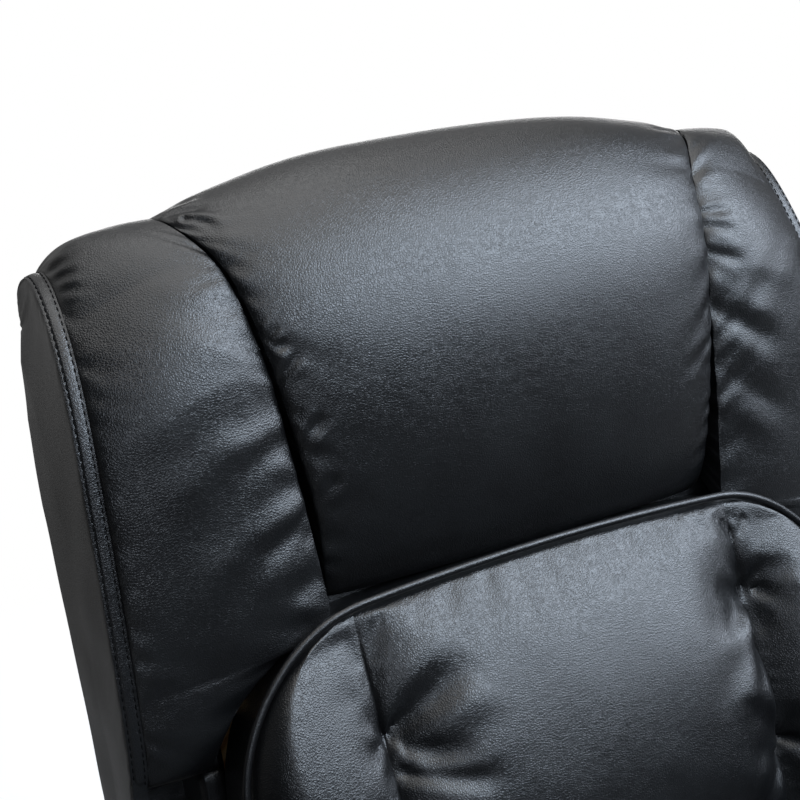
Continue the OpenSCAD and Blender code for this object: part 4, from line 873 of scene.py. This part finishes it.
def arm_pad(side, rng):
    x0, x1, y0, y1 = 270.3, 390.0, -320.0, 285.0
    half, mid = (x1 - x0) / 2, (x0 + x1) / 2
    r0, r1, foot, top = half * 0.9, half * 0.6, 542.0, 600.0
    y = rows_of(y0, y1, r0, r1, 150)[:, None]
    width = plan_half(half, y, y0, y1, r0, r1)
    x = width * np.sin(np.pi / 2 * np.linspace(-1, 1, 45))[None, :]
    y = y + 0 * x
    ends = mixed(0.35, 1.0, pillow(np.minimum(y - y0, y1 - y)))
    round_top = np.sqrt(np.maximum(0, 1 - np.abs(x / np.maximum(width, 1)) ** 2.6)) ** 0.7
    side_h = (top - foot) * 0.3
    z = foot + side_h + (top - foot - side_h) * ends * round_top
    face = np.stack([mid + x, y, z], -1)
    edge = inset_of(x, y, width, y0, y1)
    height = 0.9 * swelling(face, rng, 60) + gathers(y, edge, rng, 34, 26, 6, 1.2)
    height += gathers(x, y - y0, rng, 17, 40, 4, 1.8) + gathers(x, y1 - y, rng, 20, 30, 4, 1.2)
    face = pushed(face, height * pillow(edge, 16), (0, 0, 1))
    rim = rim_of(face)
    out = outward_of(rim)
    seam = let_out(rim, out, -2.2, mixed(rim[:, 2], foot, 0.6))
    SEWN["seat"].append(on_chair(looped(seam) * [side, 1, 1]))
    points, faces = cushion(face, [let_out(rim, out, -0.14 * half * k**2, mixed(rim[:, 2], foot, k))
                                   for k in np.linspace(0.1, 1, 8)])
    return points * [side, 1, 1], faces


def arm_panel(side, rng):
    """Rings round the arm's plan at each level, puffed between its corners"""
    x0, x1, y0, y1, z0, z1, r = 270.0, 370.0, -306.0, 285.0, 190.3, 541.7, 34.0
    plan = plan_line((x1 - x0) / 2, y0, y1, r, r, inner=7.0)
    out = outward_of(plan)
    levels = np.concatenate([z0 + 10 * (1 - np.cos(np.linspace(0, np.pi / 2, 6))),
                             np.linspace(z0 + 16, z1, 60)])
    edges = [-6 * (1 - math.sqrt(1 - (1 - unit((z - z0) / 10)) ** 2)) for z in levels]
    rings = np.array([let_out(plan, out, edge, z) for z, edge in zip(levels, edges)])
    rings[..., 0] += (x0 + x1) / 2
    up = rings[..., 2] - z0
    side_share = unit((out[:, 0] - 0.3) / 0.7)[None, :] * pillow(
        np.minimum(rings[..., 1] - y0, y1 - rings[..., 1]), 90)
    height = 5 * np.sin(np.pi * unit(up / (z1 - z0))) ** 0.6 * side_share
    height += gathers(round_plan(rings), z1 - rings[..., 2], rng, 40, 30, 7, 1.0)
    height *= unit(0.1 + out[None, :, 0])
    rings[..., :2] += out[None] * height[..., None]
    return rings * [side, 1, 1]


for side, name in SIDES:
    covered(f"arm_pad_{name}", arm_pad(side, dice(50 + side)), "seat", 0.7)
    covered(f"arm_panel_{name}", loft(arm_panel(side, dice(55 + side))), "seat", 0.4)

# %% [markdown]
# ## The front apron
# Under the seat's front edge a padded panel covers the rail.

# %% Front apron
rng = dice(61)
low, top, rear = 186.0, 289.7, -290.3
x = 269.5 * np.sin(np.pi / 2 * np.linspace(-1, 1, 131))[None, :]
k = np.linspace(0, 1, 45)[:, None]
z = mixed(low, top, k) + 0 * x
y = rear - 9.6 - 24 * pillow(274 - np.abs(x), 44) * np.sin(np.pi * k) ** 0.8
face = np.stack([x + 0 * k, y, z], -1)
edge = np.minimum(z - low, top - z)
height = 0.8 * swelling(face, rng, 60) + gathers(face[..., 0], edge, rng, 30, 20, 6, 1.4)
face = pushed(face, height * pillow(edge, 16), (0, -1, 0))
for row in (3, -4):
    SEWN["seat"].append(on_chair(face[row, 4:-4] - [0, 0.4, 0]))
covered("front_apron", cushion(face, [at_depth(rim_of(face), rear)]), "seat", 0.6)

# %% [markdown]
# ## The back's side boxing and rear panel
# A strip of leather joins each wing's outer edge to the rear panel. The rear panel is one piece,
# narrow between the arms and wide over the shoulders.

# %% The stitched band over a wing's outer edge


def stitched_band(side):
    """A flat strip over the edge, held by a row of thread near each of its borders"""
    share = np.linspace(0, 1, 17)[None, :]
    out_d, out_h = pad_curve(WING_EDGE, T)
    x1, one = wing_out(side), np.ones((len(T), share.size))
    lines = [np.stack([x * one, (out_d - deep * n_d) * one, (out_h - deep * n_h) * one], -1)
             for x, deep in ((x1 - BAND_IN - 0.6, 0.7), (x1 + 0.5, BAND_BACK))]
    away = np.stack([one, n_d * one, n_h * one], -1) / math.sqrt(2)
    rows = (0.2, 0.8)
    lift = 1.3 * np.sin(np.pi * share) - 0.6 * sum(np.exp(-(((share - r) / 0.06) ** 2)) for r in rows)
    strip = mixed(*lines, share[..., None]) + away * (lift * one)[..., None]
    for r in rows:
        k = int(round(r * (share.size - 1)))
        SEWN["back"].append(on_back((strip[4:-4, k] + away[4:-4, k] * 0.25) * [side, 1, 1]))
    return cushion(strip, [rim_of(strip) - rim_of(away) * 3.0])


# %% Side boxing


def slab(x0, x1, d0, d1, h0, h1, r=4.0):
    """A padded strip with rounded edges, as rings up its height"""
    plan = plan_line((x1 - x0) / 2, d0, d1, r, r)
    out = outward_of(plan)
    rings = [(h0, r), (h0 + 0.3 * r, 0.3 * r), (h0 + r, 0.0)]
    rings += [(h, 0.0) for h in np.linspace(h0 + 2 * r, h1 - 2 * r, 12)]
    rings += [(h1 - r, 0.0), (h1 - 0.3 * r, 0.3 * r), (h1, r)]
    return loft(np.array([let_out(plan, out, -b, h) for h, b in rings]) + [(x0 + x1) / 2, 0, 0])


SHOULDER_H = 288.11 - BACK_H
GUSSET_H = SHOULDER_H - 50.0


def rear_edge(h):
    """Half width of the back at its rear edge, drawn in towards the top corners"""
    return np.interp(h, (-210, -150, -110, -84), (313.5, 311, 306, 299))


def boxing(side, rng):
    u = np.linspace(0, 1, 49)[None, :]
    out_d, out_h = pad_curve(WING_EDGE, T)
    front_d = out_d - BAND_BACK * n_d
    front_h = out_h - BAND_BACK * n_h - 14 * (1 - pillow(T, 0.1))
    d = mixed(front_d, mixed(3.0, 6.0, T), u)
    h = mixed(front_h, mixed(-450.0, -92.0, T**0.8), u)
    x = mixed(wing_out(side) + 0.6, rear_edge(h), np.minimum(1, 1.8 * u))
    x += 1.6 * np.sin(np.pi * u) ** 0.7 * pillow(1 - T, 0.1)
    x -= 2.0 * (1 - pillow(1 - u, 0.06)) + 1.2 * (1 - pillow(u, 0.05))
    face = np.stack([x, d, h], -1)
    place, across, _ = spread(face)
    height = 0.6 * swelling(face, rng, 60) + gathers(place, across, rng, 26, 10, 3.5, 0.9)
    height += gathers(place, across, rng, 9, 11, 2.6, 1.1, ends=(330, 420))
    face[..., 0] += height * np.sin(np.pi * unit(u)) ** 0.4
    rim = rim_of(face)
    inside = rear_edge(rim[:, 2]) - np.where(rim[:, 1] < 26, 1.2, 7.0)
    back = np.stack([np.minimum(rim[:, 0] - 0.4, inside), rim[:, 1], rim[:, 2]], -1)
    points, faces = joined([
        cushion(face, [back]),
        stitched_band(side),
        # The strip below the wing, the shelf under the wing's foot and the gusset behind it
        slab(252.0, 268.6, 25.4, 95.0, 90 - BACK_H, SHOULDER_H - 0.1),
        slab(252.0, 312.0, 25.4, 95.0, SHOULDER_H, SHOULDER_H + 12, 3.0),
        slab(252.0, 311.0, 6.0, 50.0, GUSSET_H, SHOULDER_H - 0.1),
    ])
    return points * [side, 1, 1], faces


for side, name in SIDES:
    covered(f"back_side_{name}", boxing(side, dice(70 + side)), "back", 0.4)

# %% Rear panel
rng = dice(75)
# Its foot, the step from narrow to wide and the radius of its corners
low, step, top, R = -75 - BACK_H, GUSSET_H, SHELL_TOP, 14.0
turn = np.radians(90 * np.arange(9) / 8)
levels = [(low + R * (1 - math.cos(a)), 264 - R + R * math.sin(a)) for a in turn]
levels += [(h, 264.0) for h in np.linspace(low + 2 * R, step - 4, 60)]
levels += [(step + R * (1 - math.cos(a)), 312 - R + R * math.sin(a)) for a in turn]
levels += [(h, float(rear_edge(h)) - 1.4) for h in np.linspace(step + 2 * R, top - 2 * R, 50)]
corner = float(rear_edge(top - R)) - 1.4 - R
levels += [(top - R + R * math.sin(a), corner + R * math.cos(a)) for a in turn]
levels = np.array(levels)
x = levels[:, 1:] * np.linspace(-1, 1, 101)[None, :]
h = levels[:, :1] + 0 * x
edge = inset_of(x, h, levels[:, 1:], low, top)
face = np.stack([x, 3.0 - 6.0 * pillow(edge, 60), h], -1)
face[..., 1] += 1.0 * swelling(face, rng, 120) * pillow(edge, 40)
seam = rim_of(face[5:-5, 3:-3])
SEWN["back"].append(on_back(looped(seam) - [0, 0.4, 0]))
covered("back_shell", cushion(face, [at_depth(rim_of(face), d) for d in (8.0, 25.0)]), "back", 0.3)

# %% Footstool skirt
lo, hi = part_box("ottoman_apron")
rng = dice(81)
w, d = (hi.x - lo.x) / MM / 2, (hi.y - lo.y) / MM / 2
z0, z1 = lo.z / MM, hi.z / MM
plan = plan_line(w, -d, d, 36, 36)
out = outward_of(plan)
outer = np.array([let_out(plan, out, 4 * math.sin(math.pi * k) ** 0.7, mixed(z0 + 0.3, z1 - 0.3, k))
                  for k in np.linspace(0, 1, 30)])
edge = np.minimum(outer[..., 2] - z0, z1 - outer[..., 2])
bulge = gathers(round_plan(outer), edge, rng, 34, 20, 6, 1.0)
outer[..., :2] += out[None] * bulge[..., None]
for ring in (outer[2], outer[-3]):
    # Each row ends in the leather, just under its start
    sewn = np.concatenate([let_out(ring, out, 0.4, ring[:, 2]), ring[:1]])
    SEWN["ottoman"].append(on_ottoman(sewn))
inner_plan = plan_line(w - 13.6, -d + 13.6, d - 13.6, 8, 8)
order = np.argmin(np.linalg.norm(plan[:, None, :2] - inner_plan[None, :, :2], axis=-1), axis=1)
inner = np.array([let_out(inner_plan[order], out, 0, z) for z in (z1 - 0.3, z0 + 0.3)])
shape = loft(np.concatenate([outer, inner]), closed=True)
covered("ottoman_apron", shape, "ottoman", 0.4, "ottoman_skirt_skin")

# %% [markdown]
# ## Rows of thread
# The covers are top-stitched: every few millimetres a short stitch of thread lies on the leather.
# That is one small shape repeated hundreds of times along a line, so Geometry Nodes place it: the
# tree turns a line into points a stitch apart, turns a stitch along the line at each and gives it
# the thread's material. Its sizes are named inputs.

# %% The stitch tree
STITCH_INPUTS = {"Pitch": 5.6 * MM, "Length": 4.1 * MM, "Thickness": 1.1 * MM}


def stitch_tree():
    tree = bpy.data.node_groups.new("row_of_stitches", "GeometryNodeTree")
    tree.interface.new_socket("Line", in_out="INPUT", socket_type="NodeSocketGeometry")
    for title, size in STITCH_INPUTS.items():
        socket = tree.interface.new_socket(title, in_out="INPUT", socket_type="NodeSocketFloat")
        socket.default_value = size
    tree.interface.new_socket("Thread", in_out="INPUT", socket_type="NodeSocketMaterial")
    tree.interface.new_socket("Stitches", in_out="OUTPUT", socket_type="NodeSocketGeometry")
    given = add(tree, "NodeGroupInput").outputs
    curve = add(tree, "GeometryNodeMeshToCurve", links={"Mesh": given["Line"]}).outputs["Curve"]
    even = add(tree, "GeometryNodeResampleCurve", links={"Curve": curve, "Length": given["Pitch"]},
               mode="LENGTH").outputs["Curve"]
    spots = add(tree, "GeometryNodeCurveToPoints", links={"Curve": even}, mode="EVALUATED").outputs
    radius, half = (add(tree, "ShaderNodeMath", {1: 0.5}, {0: given[size]}, operation="MULTIPLY").outputs[0]
                    for size in ("Thickness", "Length"))
    size = add(tree, "ShaderNodeCombineXYZ", links={"X": radius, "Y": radius, "Z": half}).outputs[0]
    stitch = add(tree, "GeometryNodeMeshUVSphere", {"Segments": 8, "Rings": 5, "Radius": 1.0}).outputs["Mesh"]
    laid = add(tree, "GeometryNodeInstanceOnPoints",
               links={"Points": spots["Points"], "Instance": stitch, "Rotation": spots["Rotation"],
                      "Scale": size}).outputs["Instances"]
    real = add(tree, "GeometryNodeRealizeInstances", links={"Geometry": laid}).outputs[0]
    sewn = add(tree, "GeometryNodeSetMaterial", links={"Geometry": real, "Material": given["Thread"]})
    add(tree, "NodeGroupOutput", links={"Stitches": sewn.outputs[0]})
    return tree


STITCHES = stitch_tree()


def sew(name, lines, body):
    """Rows of stitches along lines of points (in mm in the room) as one plain mesh on a body"""
    points, edges = [], []
    for line in lines:
        edges += [(len(points) + k, len(points) + k + 1) for k in range(len(line) - 1)]
        points += (np.asarray(line) * MM).tolist()
    mesh = bpy.data.meshes.new(name)
    mesh.from_pydata(points, edges, [])
    guide = placed(name + "_line", mesh)
    rows = guide.modifiers.new("stitches", "NODES")
    rows.node_group = STITCHES
    socket = {item.name: item.identifier for item in STITCHES.interface.items_tree}
    for title, size in {**STITCH_INPUTS, "Thread": THREAD}.items():
        rows[socket[title]] = size
    graph = bpy.context.evaluated_depsgraph_get()
    sewn = bpy.data.meshes.new_from_object(guide.evaluated_get(graph))
    bpy.data.objects.remove(guide)
    sewn.shade_smooth()
    print(name, len(sewn.polygons), "faces")
    settled(placed(name, sewn), body=body)


# %% Stitches, body by body
for body, lines in SEWN.items():
    if lines:
        sew(f"{body}_stitches", lines, body)

# %% [markdown]
# ## Finishes of the frame
# The CAD solids that already have the right shape stay, and only get their finish. Each is named
# for what a chair maker would buy: birch plywood, planed pine, powder-coated plate, zinc-plated
# bolts, oil-tempered springs, moulded nylon, felt-backed rubber and non-woven dust cloth.

# %% Wood


def birch_plywood():
    """Thin veneers, light and dark by turns on a cut edge, with long pores on the faces"""
    finish, tree, where, shader = new_finish("birch_plywood")
    height = add(tree, "ShaderNodeSeparateXYZ", links={0: where}).outputs["Z"]
    ply = add(tree, "ShaderNodeMath", {1: 3.0 * MM}, {0: height}, operation="PINGPONG").outputs[0]
    ply = ranged(tree, ply, 0.0, 1.0, 1.1 * MM, 1.9 * MM)
    along = add(tree, "ShaderNodeMapping", {"Scale": (0.12, 1.0, 1.0)}, {"Vector": where}).outputs[0]
    pores = noise(tree, along, 2.2, 3.0, 0.6)
    wood = ramp(tree, pores, [(0.3, "#b08a58"), (0.55, "#cdaa78"), (0.8, "#d9bb8e")])
    dark = ramp(tree, pores, [(0.3, "#8a6238"), (0.8, "#a67d4d")])
    both = add(tree, "ShaderNodeMix", links={0: ply, 6: wood, 7: dark}, data_type="RGBA").outputs[2]
    feed(tree, shader, both, 0.62, bump(tree, pores, 0.15, 0.5))
    return finish


def planed_pine(name="planed_pine", early="#d8b27c", middle="#c99a5f", late="#a8733f"):
    """Soft wood with wavy yearly rings, a few millimetres apart, and a dry planed surface"""
    finish, tree, where, shader = new_finish(name)
    rings = add(tree, "ShaderNodeTexWave",
                {"Scale": 1 / (24 * MM), "Distortion": 3.5, "Detail": 3.0, "Detail Scale": 0.6},
                {"Vector": where}, bands_direction="DIAGONAL").outputs["Fac"]
    shades = ramp(tree, rings, [(0.1, early), (0.6, middle), (0.95, late)])
    uneven = bump(tree, noise(tree, where, 1.2, 2.0), 0.1, 0.4, bump(tree, rings, 0.12, 0.4))
    feed(tree, shader, shades, ranged(tree, rings, 0.55, 0.7), uneven)
    return finish


# %% Metal


def metal(name, low, high, rough, spots_mm, grain_mm, metallic=1.0, dent=0.03):
    """A bare or coated metal: its colour drifts over spots_mm and grain_mm roughens it"""
    finish, tree, where, shader = new_finish(name)
    spots = noise(tree, where, spots_mm, 3.0)
    shader.inputs["Metallic"].default_value = metallic
    feed(tree, shader, ramp(tree, spots, [(0.3, low), (0.7, high)]), ranged(tree, spots, *rough),
         bump(tree, noise(tree, where, grain_mm, 2.0), dent, 0.7))
    return finish


# %% Plastic, rubber and cloth


def moulded(name, low, high, rough, texture_mm, depth_mm):
    """Plastic or rubber from a spark-eroded mould: a fine even texture, hardly any colour change"""
    finish, tree, where, shader = new_finish(name)
    texture = noise(tree, where, texture_mm, 2.0, 0.6)
    drift = ramp(tree, noise(tree, where, 20, 2.0), [(0.3, low), (0.7, high)])
    feed(tree, shader, drift, ranged(tree, texture, *rough), bump(tree, texture, depth_mm, 0.8))
    return finish


def dust_cloth():
    """Black non-woven cloth: loose fibres held by small welded dots 2.5 mm apart"""
    finish, tree, where, shader = new_finish("non_woven_dust_cloth")
    dots = add(tree, "ShaderNodeTexVoronoi", {"Scale": 1 / (2.5 * MM), "Randomness": 0.15},
               {"Vector": where}).outputs["Distance"]
    dots = ranged(tree, dots, 0.0, 1.0, 0.15, 0.35)
    fibre = noise(tree, where, 0.7, 4.0, 0.7)
    feed(tree, shader, ramp(tree, fibre, [(0.3, "#101011"), (0.7, "#232325")]),
         ranged(tree, dots, 0.55, 0.9), bump(tree, fibre, 0.15, 0.6, bump(tree, dots, 0.25, 0.8)))
    return finish


# %% CAD nodes
finish_of = {
    "black_leather": BLACK_LEATHER,
    "leather_piping": PIPING_LEATHER,
    "plywood": birch_plywood(),
    "frame_timber": planed_pine(),
    # Powder coat: a thin black skin with orange peel over punched plate
    "black_plate_steel": metal("powder_coated_plate", "#101113", "#18191b", (0.38, 0.5), 30, 1.2, 0.0,
                               0.05),
    # Zinc plate has a cool shine that clouds over in patches
    "zinc_steel": metal("zinc_plated_steel", "#a9aeb4", "#c6c8c6", (0.24, 0.4), 9, 0.5),
    # Springs are blued by oil and stay dark
    "spring_steel": metal("oil_tempered_spring_wire", "#3b3c40", "#55565a", (0.28, 0.42), 12, 0.6),
    "knob_plastic": moulded("glass_filled_nylon", "#0f0f10", "#151516", (0.36, 0.5), 0.8, 0.06),
    "rubber_glide": moulded("felt_backed_rubber", "#191816", "#262422", (0.75, 0.92), 0.6, 0.15),
    "dust_cloth": dust_cloth(),
}
# The seat's rails can be seen from low down, so the maker sprays them black over the wood
STAINED = planed_pine("black_stained_pine", "#141312", "#100f0f", "#0b0b0b")
for part in frame["record"]["subparts"]:
    node = frame["nodes"][part["node"]]
    rail = part["material_slot"] == "frame_timber" and "rail" in part["node"]
    node.data.materials.clear()
    node.data.materials.append(STAINED if rail else finish_of[part["material_slot"]])
    node.data.set_sharp_from_angle(angle=math.radians(40))
print("finishes", sorted(finish_of))

# %% [markdown]
# ## Floor, light and camera
# The photograph is a close view of the top of the back in front of white. The camera stands where
# the seams' places say that it stood. A big soft light hangs at the front right, weaker ones fill
# the sides and the rear, and only the camera sees the room as white: to the leather it is dim.

# %% Floor
FLOOR, tree, where, shader = new_finish("pale_floor")
away = add(tree, "ShaderNodeVectorMath", links={0: where}, operation="LENGTH").outputs["Value"]
seen = add(tree, "ShaderNodeLightPath").outputs["Is Camera Ray"]
glow = add(tree, "ShaderNodeEmission", {"Color": (1, 1, 1, 1)},
           {"Strength": ranged(tree, seen, 0.15, 1.0)})
feed(tree, shader, ramp(tree, seen, [(0.0, "#929292"), (1.0, "#eeeeee")]), 0.7)
fade = add(tree, "ShaderNodeMixShader", links={0: ranged(tree, away, 0.0, 1.0, 0.9, 2.2),
                                               1: shader.outputs[0], 2: glow.outputs[0]})
tree.links.new(fade.outputs[0], [n for n in tree.nodes if n.type == "OUTPUT_MATERIAL"][0].inputs[0])
disc = bmesh.new()
bmesh.ops.create_circle(disc, cap_ends=True, segments=96, radius=3.2)
floor_mesh = bpy.data.meshes.new("floor")
disc.to_mesh(floor_mesh)
disc.free()
floor_mesh.materials.append(FLOOR)
placed("floor", floor_mesh)

# %% Lights
# Each lamp's name, place, aim, width and height in metres, power in watts and colour
LAMPS = (
    ("front_softbox", (1.7, -1.6, 3.0), (0, 0.5, 0.9), (3.2, 1.5), 210, "#dfeeff"),
    ("side_softbox", (3.0, -0.3, 2.5), (0.1, 0.5, 0.9), (1.4, 1.6), 48, "#e6f0ff"),
    ("right_fill", (2.9, -1.3, 1.7), (0.1, 0.5, 0.9), (1.2, 1.6), 30, "#e6f0ff"),
    ("left_fill", (-1.3, -2.4, 2.2), (0, 0.5, 0.8), (1.4, 1.2), 25, "#e6f0ff"),
    ("rear_softbox", (1.6, 3.2, 0.9), (0, 0.7, 0.7), (2.4, 1.2), 26, "#ffffff"),
    ("overhead_softbox", (0.6, 0.9, 3.2), (0, 0.6, 0.7), (2.2, 1.4), 6, "#ffffff"),
    ("floor_light", (0, 0.2, 3.4), (0, 0.2, 0), (3.0, 3.0), 75, "#ffffff"),
)
for name, place, aim, size, power, tint in LAMPS:
    lamp = bpy.data.lights.new(name, "AREA")
    lamp.shape, lamp.size, lamp.size_y = "RECTANGLE", size[0], size[1]
    lamp.energy, lamp.color = power, colour(tint)[:3]
    item = placed(name, lamp)
    item.location = place
    item.rotation_euler = (Vector(aim) - Vector(place)).to_track_quat("-Z", "Y").to_euler()
print(len(LAMPS), "lamps")

# %% The room: white to the camera, dim from behind to everything else
world = bpy.data.worlds.new("pale_room")
room.world = world
world.use_nodes = True
tree = world.node_tree
tree.nodes.clear()
way = add(tree, "ShaderNodeTexCoord").outputs["Generated"]
parts = add(tree, "ShaderNodeSeparateXYZ", links={0: way})
behind = ranged(tree, parts.outputs["Y"], 0.0, 1.0, 0.0, 0.7)
higher = ranged(tree, parts.outputs["Z"], 0.26, 0.6, 0.0, 0.5)
behind = add(tree, "ShaderNodeMath", links={0: behind, 1: higher}, operation="MULTIPLY").outputs[0]
seen = add(tree, "ShaderNodeLightPath").outputs["Is Camera Ray"]
strength = add(tree, "ShaderNodeMix", {3: 1.0}, {0: seen, 2: behind}, data_type="FLOAT").outputs[0]
sky = add(tree, "ShaderNodeBackground", {"Color": (1, 1, 1, 1)}, {"Strength": strength}).outputs[0]
add(tree, "ShaderNodeOutputWorld", links={"Surface": sky})
room.view_settings.view_transform = "Standard"

# %% Camera
# Its place and turn were solved from the seams, the piping and the mirror symmetry of the back
azimuth, elevation, roll = (math.radians(a) for a in (-27.896, 18.545, -4.025))
back = Vector((math.sin(azimuth) * math.cos(elevation), -math.cos(azimuth) * math.cos(elevation),
               math.sin(elevation)))
level = Vector((math.cos(azimuth), math.sin(azimuth), 0))
rise_way = back.cross(level)
right = math.cos(roll) * level + math.sin(roll) * rise_way
upward = -math.sin(roll) * level + math.cos(roll) * rise_way
camera = placed("camera", bpy.data.cameras.new("camera"))
camera.data.lens = 70.698
turned = Matrix((right, upward, back)).transposed().to_4x4()
camera.matrix_world = Matrix.Translation((-0.5645, -0.36755, 1.18135)) @ turned
room.camera = camera
print("camera", [round(v, 3) for v in camera.matrix_world.translation])

# %% The json module
import json
